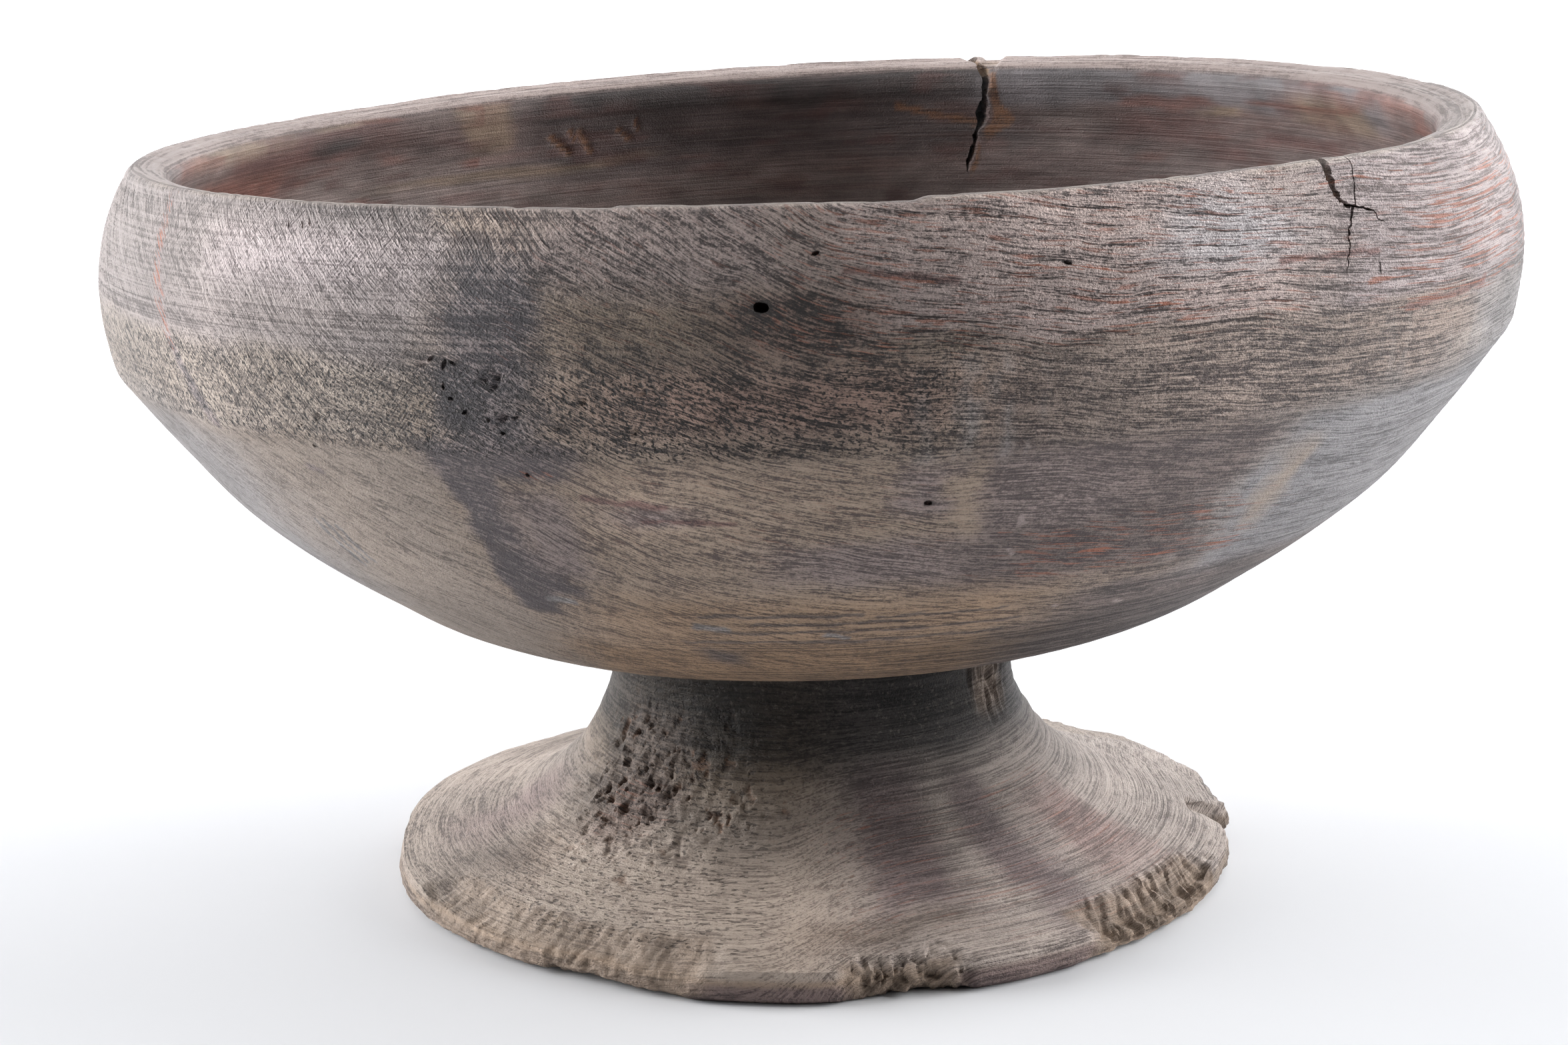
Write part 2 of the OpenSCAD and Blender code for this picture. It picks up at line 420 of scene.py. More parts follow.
# ---------------------------------------------------------------- the bowl
def make_bowl():
    """The bowl with its relief, before the cracks are cut."""
    seat = resample(np.array([(6.0, NECK_Z), (NECK_R, NECK_Z)]), 8)[:-1]
    outside = resample(outer_line, OUTSIDE_STEP)
    rim = resample(rim_line, OUTSIDE_STEP)
    inside = resample(inner_line, INSIDE_STEP)
    line = np.vstack([seat, outside, rim, inside, [[8, NECK_Z + FLOOR_T]]])
    facing = normals(line)
    place = np.concatenate(
        [np.zeros(len(seat)), np.ones(len(outside)), np.full(len(rim), 2), np.full(len(inside) + 1, 3)]
    )[:, None]
    f, r, z = turned_grid(line, COLUMNS)
    t = np.radians(f - 90)
    upward = np.broadcast_to(facing[:, 1:], f.shape)
    away = np.stack([facing[:, :1] * np.cos(t), facing[:, :1] * np.sin(t), upward], -1)
    p = warped(r, f, z)
    p = p + (bowl_relief(f, z, p, place) * (place > 0))[..., None] * away
    p[..., 2] += rim_height(f, z)
    low = warped(np.zeros(1), np.zeros(1), np.array([NECK_Z]))[0]
    high = warped(np.zeros(1), np.zeros(1), np.array([NECK_Z + FLOOR_T - 0.5]))[0]
    return build("bowl_shell", *closed_grid(p, low, high))


# ---------------------------------------------------------------- cracks, holes and nicks
def jagged(line, step, rough, seed):
    """A finer line of [sideways, height, width] points with small random kinks."""
    line = np.array(line, float)
    s = np.r_[0, np.cumsum(np.hypot(*np.diff(line[:, :2], axis=0).T))]
    t = np.arange(0, s[-1] + step, step)
    fine = np.column_stack([np.interp(t, s, line[:, k]) for k in range(3)])
    kinks = np.random.default_rng(seed).normal(0, 1, (len(t), 2))
    kinks = rough * (0.6 * kinks + 0.4 * np.roll(kinks, 1, 0))
    kinks[0] = kinks[-1] = 0
    fine[:, :2] += kinks
    fine[:, 2] *= 1 + 0.25 * np.random.default_rng(seed + 1).normal(0, 1, len(t))
    return fine


def at_wall(centre, sideways, height, radius):
    """Points at a distance sideways from the angle centre, at a height and radius of the turned shape."""
    return warped(radius, centre + np.degrees(sideways / BELLY_R), height)


def slit(centre, line, skew, step, rough, narrow, seed):
    """A cutter for a crack through the wall. From the inside out it slants by the skew and gets narrower."""
    fine = jagged(line, step, rough, seed)
    d = np.gradient(fine[:, :2], axis=0)
    beside = np.column_stack([-d[:, 1], d[:, 0]]) / np.hypot(*d.T)[:, None]
    half = np.maximum(fine[:, 2:], 0.06) / 2
    n, count = 2 * len(fine), len(fine)
    depths = np.linspace(*CUT_REACH, 24)
    rng = np.random.default_rng(77)
    drift = np.cumsum(rng.normal(0, 0.12, (len(depths), 2)), axis=0)
    drift -= drift[-8]
    inner_r = np.interp(fine[:, 1], inner_line[::-1, 1], inner_line[::-1, 0])
    rings = []
    for r, (dx, dz) in zip(depths, drift):
        middle = fine[:, :2] + np.column_stack([skew * (r - inner_r) + dx, np.full(count, dz)])
        out = beside * half * (1 - narrow * ramp(157, 166, r))
        ring = np.vstack([middle + out, (middle - out)[::-1]])
        rings.append(at_wall(centre, ring[:, 0], ring[:, 1], r))
    p = np.stack(rings)
    i, j = np.meshgrid(np.arange(len(depths) - 1), np.arange(n), indexing="ij")
    a, b = i * n + j, i * n + (j + 1) % n
    walls = np.stack([a, b, b + n, a + n], -1).reshape(-1, 4)
    k = np.arange(count - 1)
    cap = np.column_stack([k, n - 1 - k, n - 2 - k, k + 1])
    far = cap[:, ::-1] + (len(depths) - 1) * n
    quads = np.vstack([walls, cap[:, ::-1], far[:, ::-1]])
    return solid(p.reshape(-1, 3), quads)


def solid(points, quads):
    """A closed cutter with its faces turned outwards."""
    ob = build("cutter", points, quads, np.zeros((0, 3), int))
    mesh = bmesh.new()
    mesh.from_mesh(ob.data)
    face_out(mesh)
    mesh.to_mesh(ob.data)
    mesh.free()
    return ob


def face_out(mesh):
    """Turns all faces of a closed mesh outwards."""
    bmesh.ops.recalc_face_normals(mesh, faces=mesh.faces)
    if mesh.calc_volume(signed=True) < 0:
        bmesh.ops.reverse_faces(mesh, faces=mesh.faces)


def pick(at, half, depth, slant, seed, rough=0.25):
    """A cutter for a small hole at (angle, height) in the outside, of half sizes (sideways, up)."""
    mesh = bmesh.new()
    bmesh.ops.create_icosphere(mesh, subdivisions=3, radius=1)
    q = np.array([v.co for v in mesh.verts])
    q *= (1 + rough * noise(q, 0.8, seed, 2))[:, None]
    tilt = math.radians(slant)
    side = q[:, 0] * half[0] * math.cos(tilt) - q[:, 1] * half[1] * math.sin(tilt)
    up = q[:, 0] * half[0] * math.sin(tilt) + q[:, 1] * half[1] * math.cos(tilt)
    r = np.interp(at[1], outer_line[:, 1], outer_line[:, 0])
    p = at_wall(at[0], side, at[1] + up, r + 0.4 + q[:, 2] * depth)
    for v, co in zip(mesh.verts, p * MM):
        v.co = co
    me = bpy.data.meshes.new("cutter")
    face_out(mesh)
    mesh.to_mesh(me)
    mesh.free()
    ob = bpy.data.objects.new("cutter", me)
    bpy.context.scene.collection.objects.link(ob)
    return ob


def boolean(ob, other, operation):
    """Applies a boolean to ob and removes the other object."""
    step = ob.modifiers.new("cut", "BOOLEAN")
    step.operation, step.solver, step.object = operation, "MANIFOLD", other
    view = bpy.context.evaluated_depsgraph_get()
    me = bpy.data.meshes.new_from_object(ob.evaluated_get(view))
    ob.modifiers.clear()
    old, ob.data = ob.data, me
    bpy.data.meshes.remove(old)
    bpy.data.objects.remove(other)


# The cracks beside the loose chip meet at this height, and this far round from the front.
CHIP_AT, MEET_Z = 40.8, RIM_Z - 9.1
BACK_AT = 157
CUT_REACH = (140, 186)  # the radii that a crack's cutter starts and ends at
# How a crack is cut: its skew, the step between its kinks, how rough it is and how much it narrows outwards.
CHIP_CUT = (0.0, 0.45, 0.12, 0.0)
BACK_CUT = (1.3, 1.4, 0.3, 0.45)
# Cracks as an angle and a line of (sideways, height, width).
CRACKS = [
    (CHIP_AT, [
        (-3.0, RIM_Z + 9, 2.4), (-3.1, RIM_Z, 2.3), (-3.6, RIM_Z - 2.8, 1.9), (-4.0, RIM_Z - 5.0, 1.6),
        (-3.6, RIM_Z - 7.3, 1.3), (-1.9, RIM_Z - 9.0, 0.9), (0.5, MEET_Z - 0.1, 0.5),
    ]),
    (CHIP_AT, [
        (5.4, RIM_Z + 9, 0.3), (5.1, RIM_Z, 0.3), (4.3, RIM_Z - 2.7, 0.3), (2.5, RIM_Z - 5.6, 0.28),
        (0.2, MEET_Z - 0.3, 0.4),
    ]),
    (CHIP_AT, [
        (0.0, MEET_Z, 0.6), (2.5, MEET_Z - 0.7, 0.55), (5.6, MEET_Z - 1.6, 0.45),
        (6.0, MEET_Z - 3.4, 0.35), (8.2, MEET_Z - 4.6, 0.1),
    ]),
    (CHIP_AT, [
        (0.0, MEET_Z, 0.6), (-2.0, MEET_Z - 2.4, 0.55), (-4.4, MEET_Z - 5.7, 0.5), (-4.2, MEET_Z - 7, 0.4),
        (-6.2, MEET_Z - 10.5, 0.35), (-7.3, MEET_Z - 13.5, 0.08),
    ]),
    (BACK_AT, [
        (-2.7, RIM_Z + 9, 5.5), (-2.6, RIM_Z, 5.2), (-2.2, RIM_Z - 5, 4.2), (-1.5, RIM_Z - 9, 3.6),
        (-0.8, RIM_Z - 13, 3.8), (0.5, RIM_Z - 16, 5.2), (1.4, RIM_Z - 19, 4.6), (3.2, RIM_Z - 22, 2.0),
        (4.6, RIM_Z - 25, 2.0), (5.9, RIM_Z - 28, 2.8), (6.9, RIM_Z - 31, 2.4), (7.4, RIM_Z - 34, 0.3),
    ]),
]
# Holes and pits: (angle, height), half sizes, depth and slant.
HOLES = [
    ((-2.8, 171.4), (1.7, 1.15), 4.5, -12),
    ((8.05, 130.1), (0.9, 0.7), 1.6, 0),
    ((0.9, 180.8), (0.9, 0.45), 1.3, 20),
    ((17.4, 176.6), (0.9, 0.4), 1.0, -15),
    ((-26.8, 161.3), (1.5, 0.45), 0.9, 28),
    ((-25.7, 160.4), (0.5, 1.4), 1.0, -30),
    ((-24.9, 160.6), (1.0, 0.4), 0.8, -25),
    ((41.8, 168.0), (0.2, 1.1), 1.2, 5),
    ((-25.4, 153.6), (0.65, 0.5), 1.1, 0),
    ((-24.4, 151.0), (0.9, 0.5), 1.2, 35),
    ((-22.6, 149.6), (0.4, 0.6), 0.9, 0),
    ((-21.6, 147.0), (0.6, 0.4), 1.0, 0),
    ((-25.9, 156.0), (0.4, 0.8), 0.9, -20),
    ((-20.6, 137.9), (0.6, 0.5), 1.3, 0),
    ((-39.6, 140.5), (0.5, 0.4), 1.1, 0),
]
# Thin nicks below the rim: (angle, height) and slant.
TICKS = [((-41.9, 185.3), 25), ((-40.4, 185.6), 35), ((-39.7, 186.0), 35)]


def cut_bowl(ob):
    """Cuts the cracks, holes and nicks with one joined cutter."""
    tool = None
    for k, (centre, line) in enumerate(CRACKS):
        one = slit(centre, line, *(BACK_CUT if centre == BACK_AT else CHIP_CUT), seed=40 + k)
        if tool is None:
            tool = one
        else:
            boolean(tool, one, "UNION")
    for k, (at, half, depth, slant) in enumerate(HOLES):
        boolean(tool, pick(at, half, depth, slant, 50 + k), "UNION")
    for k, (at, slant) in enumerate(TICKS):
        boolean(tool, pick(at, (0.3, 1.3), 1.0, slant, 70 + k, 0.1), "UNION")
    boolean(ob, tool, "DIFFERENCE")


def part_off(ob, name, near):
    """Splits the loose bit of ob nearest to a point off as its own object, and drops other crumbs."""
    bpy.ops.object.select_all(action="DESELECT")
    ob.select_set(True)
    bpy.context.view_layer.objects.active = ob
    bpy.ops.mesh.separate(type="LOOSE")
    bits = sorted(bpy.context.selected_objects, key=lambda o: -len(o.data.vertices))
    main, rest = bits[0], bits[1:]
    rest.sort(key=lambda o: np.linalg.norm(coordinates(o).mean(0) - near))
    chip = next(o for o in rest if len(o.data.vertices) > 30)
    for o in rest:
        if o is not chip:
            bpy.data.objects.remove(o)
    main.name, chip.name = ob.name, name
    return main, chip


# ---------------------------------------------------------------- the foot
flare = spline(
    [
        (FOOT_R - 1, EDGE_T),
        (0.86 * FOOT_R, EDGE_T + 4),
        (0.70 * FOOT_R, EDGE_T + 10),
        (0.56 * FOOT_R, NECK_Z - 32),
        (NECK_R - 0.5, NECK_Z - 14),
        (NECK_R, NECK_Z),
    ]
)
RING_IN = 0.65 * FOOT_R
FOOT_COLUMNS = 1300
NOTCH_AT = 85.5  # where the foot's edge is split
# Bites out of the foot's edge: angles, how deep, how far the underside is lifted and how ragged it is.
BITES = [
    ((-84, -60), 0.3, 0.2, 0.1),
    ((-60, -17), 1.5, 0.5, 0.25),
    ((-36, -24), 1.1, 0.6, 0.3),
    ((4.5, 17), 2.6, 0.8, 1.1),
    ((17, 36), 0.0, 0.1, 0.0),
    ((37, 62), 1.6, 0.5, 0.35),
    ((62, 79), 0.7, 0.4, 0.3),
    ((88, 100), 1.2, 0.5, 0.4),
    ((106, 150), 1.2, 0.6, 0.4),
    ((158, 171), 1.8, 0.9, 0.5),
    ((-170, -128), 0.8, 0.6, 0.3),
]
# Where the top of the edge has broken off: angles, where that starts as a share of the foot's radius, how
# far it is lowered and how deep its grooves are.
BREAKS = [
    ((-62, -14), 0.885, 2.2, 0.26),
    ((4.5, 17), 0.955, 1.6, 1.2),
    ((37, 64), 0.905, 4.2, 1.1),
    ((130, 168), 0.90, 2.5, 0.6),
]
# Rotten spots on the foot: angle, height, half sizes in degrees and millimetres, and depth.
ROTTEN = [
    (-52, 37, 13, 10, 2.2),
    (-45, 27, 15, 7, 1.7),
    (-32, 40, 16, 9, 0.9),
    (-20, 29, 14, 5, 1.1),
    (-35, 20, 14, 5, 0.7),
    (134, 33, 16, 9, 1.6),
]


def between(f, angles, soft):
    """1 between two angles, and 0 beyond them."""
    return ramp(-soft, soft, turn_to(f, angles[0])) * ramp(-soft, soft, -turn_to(f, angles[1]))


def foot_marks(f, r, z, p):
    """How far the points of the foot stand out, and move in, and move up."""
    w = in_wood(p)
    arc_mm = np.radians(f) * FOOT_R
    above = ramp(EDGE_T - 0.5, EDGE_T + 1, z)
    out = 0.55 * noise(p, 45, 61) + 0.25 * noise(p, 14, 62)
    # the tool's rings, and the coarser end of the grain
    rings = noise(np.stack([w[..., 0] / 70, w[..., 1] / 70, (z - r) / 1.7], -1), 1, 63)
    side = ramp(0.35, 0.8, grain_angle(f)) * ramp(-15, 5, f)
    out += above * (0.03 + 0.07 * side) * np.tanh(2.2 * rings)
    wide = noise(np.stack([w[..., 0] / 90, w[..., 1] / 90, (z - r) / 4.5], -1), 1, 77)
    out += above * (0.06 + 0.16 * side) * np.tanh(1.8 * wide)
    rough = ramp(0.35, 0.75, 1 - grain_angle(f))
    out += above * rough * 0.20 * noise(w, (6, 5.5, 1.8), 64, 3)
    # rotten end grain, pitted on the left of the neck
    cavity = 0 * f
    hollows = 0.65 * pits(p, (3.4, 3.4, 2.8), 0.60, 65) + 0.45 * pits(p, (1.7, 1.7, 1.5), 0.52, 66)
    lumps = noise(p, 3.2, 79, 3)
    for angle, height, wide_half, high_half, depth in ROTTEN:
        rotten = spot(f, z, (angle, height), (wide_half, high_half), 1.5)
        cavity = np.maximum(cavity, rotten * -hollows * min(depth / 1.6, 1))
        out += above * rotten * (0.8 * depth * hollows + 0.32 * depth * lumps)
    out += above * 0.45 * rough * pits(w, (9, 2.4, 1.2), 0.12, 67)
    # dents and ridges at the top of the neck, on the right and on the left
    gouged = spot(f, z, (57, 54), (9, 10), 0.8) + 0.5 * spot(f, z, (-120, 52), (14, 9), 0.8)
    out += 1.8 * spot(f, z, (66, 51), (17, 9), 1.2)
    out -= gouged * (0.2 + 2.6 * np.abs(noise(np.stack([arc_mm / 4.5, z / 18, 0 * z], -1), 1, 68, 2)))
    # the top of the edge is worn or broken off, with grooves that run outwards
    near_edge = ramp(0.86, 0.985, r / FOOT_R)
    runs = arc_mm + 0.25 * r + 1.5 * noise(p, 6, 108, 2)
    grooves = 0.8 * noise(np.stack([runs / 1.6, r / 9, 0 * z], -1), 1, 69, 2) + 0.9 * noise(p, 2.6, 70, 3)
    up = 0 * f
    wavy = f + 2.2 * noise(p, 9, 73, 3)
    for angles, start, drop, groove in BREAKS:
        here = between(wavy, angles, 3.0)
        slope = ramp(start, 0.985, r / FOOT_R) * np.clip(z / EDGE_T, 0, 1)
        up = up - here * drop * slope
        torn_off = ramp(start - 0.015, start + 0.025, r / FOOT_R) * ramp(0.8, 3, z)
        out += here * groove * torn_off * np.tanh(1.6 * grooves)
    move_in = near_edge * (0.5 * noise(p, 30, 71) + 0.3 * noise(p, 7, 72))
    fibres = noise(np.stack([arc_mm / 1.7, z / 10, 0 * z], -1), 1, 75)
    tatters = 1.1 * noise(p, (3.5, 3.5, 4), 74, 3) + 0.6 * fibres
    under = ramp(5.5, 1.5, z) * ramp(0.88, 0.97, r / FOOT_R)
    for angles, bite, raised, ragged in BITES:
        here = between(wavy, angles, 3.2)
        torn = ragged * tatters
        move_in += here * near_edge * (bite + torn)
        up = up + here * under * np.maximum(raised + 0.7 * torn, 0)
    # a split that slopes in gently from the front and has a splinter behind it
    past = turn_to(f, NOTCH_AT + 1.3) + 0.5 * noise(p, 3, 76)
    split = np.clip(1 + past / 8.5, 0, 1) * np.clip(1 - past / 1.6, 0, 1)
    move_in += 7.5 * split * ramp(0.88, 0.96, r / FOOT_R)
    move_in -= 1.6 * bump(past, 3.0, 1.0) * ramp(0.95, 0.99, r / FOOT_R)
    return out, move_in, up, cavity * above


def make_foot():
    """The foot with its worn, rotten and broken places."""
    below = np.array([(8, DISH), (RING_IN - 10, DISH), (RING_IN, 0), (FOOT_R - 2, 0), (FOOT_R, 2)])
    edge = np.array([(FOOT_R, 2), (FOOT_R - 0.2, 5), (FOOT_R - 1, EDGE_T)])
    line = np.vstack(
        [
            resample(below, 1.6)[:-1],
            resample(edge, 0.6)[:-1],
            resample(flare, OUTSIDE_STEP),
            [[NECK_R - 1.5, NECK_Z + 1.5], [NECK_R - 6, NECK_Z + 2], [8, NECK_Z + 2]],
        ]
    )
    facing = normals(line)
    f, r, z = turned_grid(line, FOOT_COLUMNS)
    t = np.radians(f - 90)
    round_about = np.stack([np.cos(t), np.sin(t)], -1)
    p = np.concatenate([r[..., None] * round_about + FOOT_AT, z[..., None]], -1)
    out, move_in, up, cavity = foot_marks(f, r, z, p)
    out = out * ramp(2.5, 6, z) * ramp(NECK_Z + 1.2, NECK_Z, z)
    p[..., :2] += (out * facing[:, :1] - move_in)[..., None] * round_about
    p[..., 2] += out * facing[:, 1:] + up
    p[..., 2] = np.maximum(p[..., 2], 0)
    ob = build("foot_wood", *closed_grid(p, (*FOOT_AT, DISH), (*FOOT_AT, NECK_Z + 2)))
    layer = ob.data.attributes.new("cavity", "FLOAT", "POINT")
    layer.data.foreach_set("value", np.append(cavity.ravel(), [0, 0]).astype(np.float32))
    return ob


bowl = make_bowl()
cut_bowl(bowl)
bowl, chip = part_off(bowl, "loose_chip", at_wall(CHIP_AT, 0.5, RIM_Z - 4, BELLY_R - 12))
foot = make_foot()

# ---------------------------------------------------------------- paint
# Tones of the wood, as a light one for what stands out and a dark one for the grain between.
TONES = {
    "band left": ((0.250, 0.212, 0.202), (0.116, 0.096, 0.092)),
    # the pale band: partly pale weathered wood, partly painted sheen
    "band pale": ((0.367, 0.312, 0.312), (0.172, 0.142, 0.142)),
    "ridges": ((0.382, 0.303, 0.280), (0.091, 0.070, 0.067)),
    "ridges blue": ((0.388, 0.358, 0.364), (0.132, 0.114, 0.116)),
    "band right": ((0.238, 0.199, 0.196), (0.100, 0.079, 0.076)),
    "knot": ((0.245, 0.160, 0.128), (0.026, 0.019, 0.018)),
    "column": ((0.205, 0.168, 0.166), (0.052, 0.046, 0.051)),
    "olive left": ((0.255, 0.209, 0.174), (0.094, 0.076, 0.067)),
    "olive": ((0.254, 0.196, 0.155), (0.049, 0.039, 0.037)),
    "olive right": ((0.233, 0.182, 0.154), (0.066, 0.050, 0.047)),
    "grey": ((0.229, 0.212, 0.208), (0.121, 0.110, 0.108)),
    "tan left": ((0.268, 0.218, 0.181), (0.129, 0.103, 0.088)),
    "tan": ((0.310, 0.236, 0.178), (0.097, 0.071, 0.062)),
    "tan low": ((0.355, 0.242, 0.158), (0.115, 0.074, 0.054)),
    "brown": ((0.182, 0.141, 0.126), (0.073, 0.056, 0.054)),
    "blue grey": ((0.214, 0.204, 0.207), (0.109, 0.103, 0.105)),
    "low brown": ((0.131, 0.102, 0.093), (0.046, 0.036, 0.033)),
    "blue black": ((0.212, 0.168, 0.162), (0.078, 0.065, 0.068)),
    "inside": ((0.221, 0.165, 0.154), (0.064, 0.047, 0.045)),
    "inside pale": ((0.286, 0.231, 0.212), (0.108, 0.082, 0.077)),
    "inside dark": ((0.132, 0.106, 0.102), (0.047, 0.042, 0.044)),
    "inside red": ((0.240, 0.105, 0.080), (0.080, 0.036, 0.030)),
    "rim": ((0.340, 0.277, 0.258), (0.175, 0.138, 0.128)),
    "fresh": ((0.430, 0.290, 0.180), (0.130, 0.078, 0.050)),
    "foot": ((0.375, 0.309, 0.262), (0.136, 0.108, 0.095)),
    "foot left": ((0.311, 0.260, 0.220), (0.162, 0.130, 0.112)),
    "foot purple": ((0.200, 0.148, 0.137), (0.085, 0.062, 0.060)),
    "foot red": ((0.284, 0.192, 0.164), (0.105, 0.071, 0.063)),
    "foot brown": ((0.244, 0.193, 0.157), (0.106, 0.079, 0.065)),
    "foot edge": ((0.325, 0.243, 0.180), (0.100, 0.072, 0.056)),
    "rot": ((0.150, 0.116, 0.098), (0.045, 0.034, 0.030)),
    "low tan": ((0.270, 0.175, 0.106), (0.100, 0.064, 0.043)),
    "haze": ((0.300, 0.290, 0.290), (0.150, 0.140, 0.140)),
    # a dark stain on the neck, made darker with painted shade under the bowl
    "neck": ((0.056, 0.048, 0.043), (0.014, 0.012, 0.012)),
    # painted shade in the holes of the bowl and the deepest pits of the foot
    "hollow": ((0.070, 0.050, 0.040), (0.020, 0.015, 0.014)),
    "flake": ((0.270, 0.140, 0.080), (0.110, 0.062, 0.042)),
    # painted shade deep in the back crack
    "black": ((0.022, 0.017, 0.015), (0.010, 0.008, 0.008)),
    "maroon": ((0.160, 0.085, 0.075), (0.060, 0.032, 0.032)),
    "purple": ((0.262, 0.206, 0.188), (0.098, 0.075, 0.072)),
    "soot": ((0.088, 0.076, 0.074), (0.034, 0.030, 0.031)),
    "slate": ((0.225, 0.210, 0.218), (0.088, 0.082, 0.088)),
    "inside tan": ((0.300, 0.225, 0.165), (0.120, 0.086, 0.066)),
    # worn pale wood with a painted highlight, for the rim's crest
    "crest": ((0.500, 0.420, 0.355), (0.280, 0.230, 0.200)),
}
# Stains on both of the bowl's like sides, with painted sheen in the pale band: tone, share of dark, angles,
# heights, softness of their edges.
ZONES = [
    ("band left", 0.42, (-95, -26), (155, 200), (6, 4)),
    # the pale band at the upper left: partly pale weathered wood, partly painted sheen
    ("band pale", 0.35, (-50, -29), (173, 187), (7, 6)),
    ("ridges", 0.40, (1, 37), (160, 200), (6, 4)),
    ("ridges", 0.48, (-21, 1), (174, 200), (6, 5)),
    ("ridges blue", 0.36, (25, 36), (172, 187), (5, 5)),
    ("band right", 0.45, (36, 95), (155, 200), (5, 4)),
    ("olive left", 0.45, (-95, -27), (141, 160), (6, 3)),
    ("olive", 0.50, (-28, 12), (141, 165), (5, 4)),
    ("olive right", 0.50, (12, 53), (141, 161), (3, 2)),
    ("grey", 0.42, (53, 95), (90, 158), (7, 8)),
    ("tan left", 0.36, (-95, -27), (60, 141), (6, 3)),
    ("grey", 0.40, (-95, -52), (92, 141), (9, 8)),
    ("tan", 0.46, (-27, 13), (60, 141), (5, 2)),
    ("brown", 0.52, (9, 33), (106, 142), (3, 4)),
    ("blue grey", 0.42, (33, 66), (96, 141), (4, 5)),
    ("tan low", 0.40, (-20, 19), (88, 106), (6, 5)),
    ("low brown", 0.45, (22, 95), (60, 101), (6, 7)),
    ("low tan", 0.50, (-30, 22), (60, 91), (7, 4)),
    ("low brown", 0.55, (22, 95), (60, 92), (7, 5)),
]
# Marks on the front only, in the same way.
PATCHES = [
    ("knot", 0.50, (-5, 3.5), (163, 174), (4, 4)),
    ("knot", 0.48, (-14, 10), (147, 160), (9, 6)),
    ("knot", 0.66, (-4.2, 0.6), (167.2, 173), (1.0, 1.6)),
    ("knot", 0.60, (-2.6, 2.6), (163.5, 168.5), (1.2, 1.6)),
    ("column", 0.50, (-26, -19), (141, 182), (2.5, 5)),
    ("column", 0.62, (-24.5, -18.5), (164, 176), (2.0, 3)),
    ("column", 0.75, (-26.5, -23), (147, 159), (1.2, 2)),
    ("blue black", 0.62, (-28.2, -23.6), (118, 141), (0.7, 2)),
    ("blue black", 0.66, (-28.4, -21), (106, 118), (0.7, 2)),
    ("blue black", 0.70, (-28.9, -24.4), (100.5, 107), (0.8, 1.2)),
    ("blue black", 0.60, (-29, -17), (136.5, 145), (1.8, 2.2)),
    ("purple", 0.45, (-23.8, -18.5), (112, 133), (1.6, 3)),
    ("tan", 0.30, (9.6, 11.6), (121, 139), (1.0, 4)),
    ("tan left", 0.25, (36.2, 38.6), (113, 133), (1.3, 5)),
    ("low brown", 0.5, (-13, -9), (84, 89), (2, 2)),
    ("olive right", 0.35, (47, 53), (150, 157), (3, 3)),
    ("purple", 0.55, (-15, -10), (126, 131), (3, 2)),
    ("purple", 0.58, (13, 22), (122, 140), (3, 3)),
    ("purple", 0.52, (6, 9.4), (127, 139), (1.2, 3)),
    ("purple", 0.50, (-3, 12), (110, 121), (5, 3)),
    ("brown", 0.62, (19, 34), (134.5, 139), (3, 1.2)),
    ("olive right", 0.58, (31.5, 36.5), (154, 160.5), (1.6, 1.4)),
    ("low brown", 0.55, (24, 33), (96, 103), (4, 2)),
]
# Strokes: tone, share of dark, half width, and the line of (angle, height) that they follow.
STROKES = [
    ("band right", 0.3, 1.6, [(-60.5, 189), (-58.5, 172), (-56, 158)]),
    ("blue black", 0.55, 1.5, [(-55.5, 157), (-53.5, 149), (-51.5, 142)]),
    ("blue grey", 0.6, 0.8, [(-48, 118), (-47, 107)]),
    ("blue grey", 0.65, 0.7, [(-46.7, 119), (-45.8, 108)]),
    ("blue grey", 0.7, 0.7, [(-45.4, 118), (-44.4, 109)]),
    ("blue black", 0.5, 1.0, [(-41.9, 134.2), (-41.1, 133.6)]),
    ("rim", 0.1, 0.35, [(-27.6, 160.4), (-26.4, 162.6)]),
    ("rim", 0.1, 0.35, [(-25.6, 162.2), (-24.7, 161.2)]),
    ("haze", 0.5, 1.2, [(-11.6, 97.6), (-9.0, 96.6)]),
    ("haze", 0.6, 0.8, [(-25, 104.5), (-22.5, 104)]),
    ("haze", 0.6, 0.7, [(0.6, 94.2), (2.6, 93.6)]),
    ("rim", 0.0, 0.5, [(15.1, 125), (15.5, 122.8)]),
    ("rim", 0.0, 0.4, [(14.9, 117), (15.1, 115.4)]),
    ("rim", 0.0, 0.4, [(21.7, 98), (22, 97.6)]),
    ("rim", 0.1, 0.4, [(28.8, 95.6), (29.8, 95)]),
    ("low brown", 0.45, 0.5, [(-11, 101.2), (4, 101.0)]),
    ("low brown", 0.45, 0.45, [(-6, 98.6), (8, 98.4)]),
    ("low brown", 0.45, 0.45, [(-10, 95.7), (4, 95.5), (19, 95.3)]),
    ("low brown", 0.45, 0.4, [(5, 99.9), (17, 99.6)]),
    ("low brown", 0.45, 0.45, [(-14, 92.3), (18, 92.0)]),
    ("maroon", 0.30, 0.8, [(44.5, 158.6), (50, 158.4), (56, 158.9)]),
    ("maroon", 0.50, 0.6, [(33, 172.6), (42, 171.6)]),
    ("maroon", 0.45, 0.7, [(3, 177.4), (10, 174.6)]),
    ("maroon", 0.50, 0.7, [(-17, 133), (-11, 130.6)]),
    ("maroon", 0.50, 0.5, [(-13, 127.6), (-6, 127)]),
]
# Redder places on the front: strength, angles, heights, softness.
RED_SPANS = [
    (0.85, (45, 74), (156, 184), (6, 5)),
    (0.7, (14, 38), (107, 121), (4, 3)),
    (0.25, (-20, 10), (118, 140), (6, 5)),
]
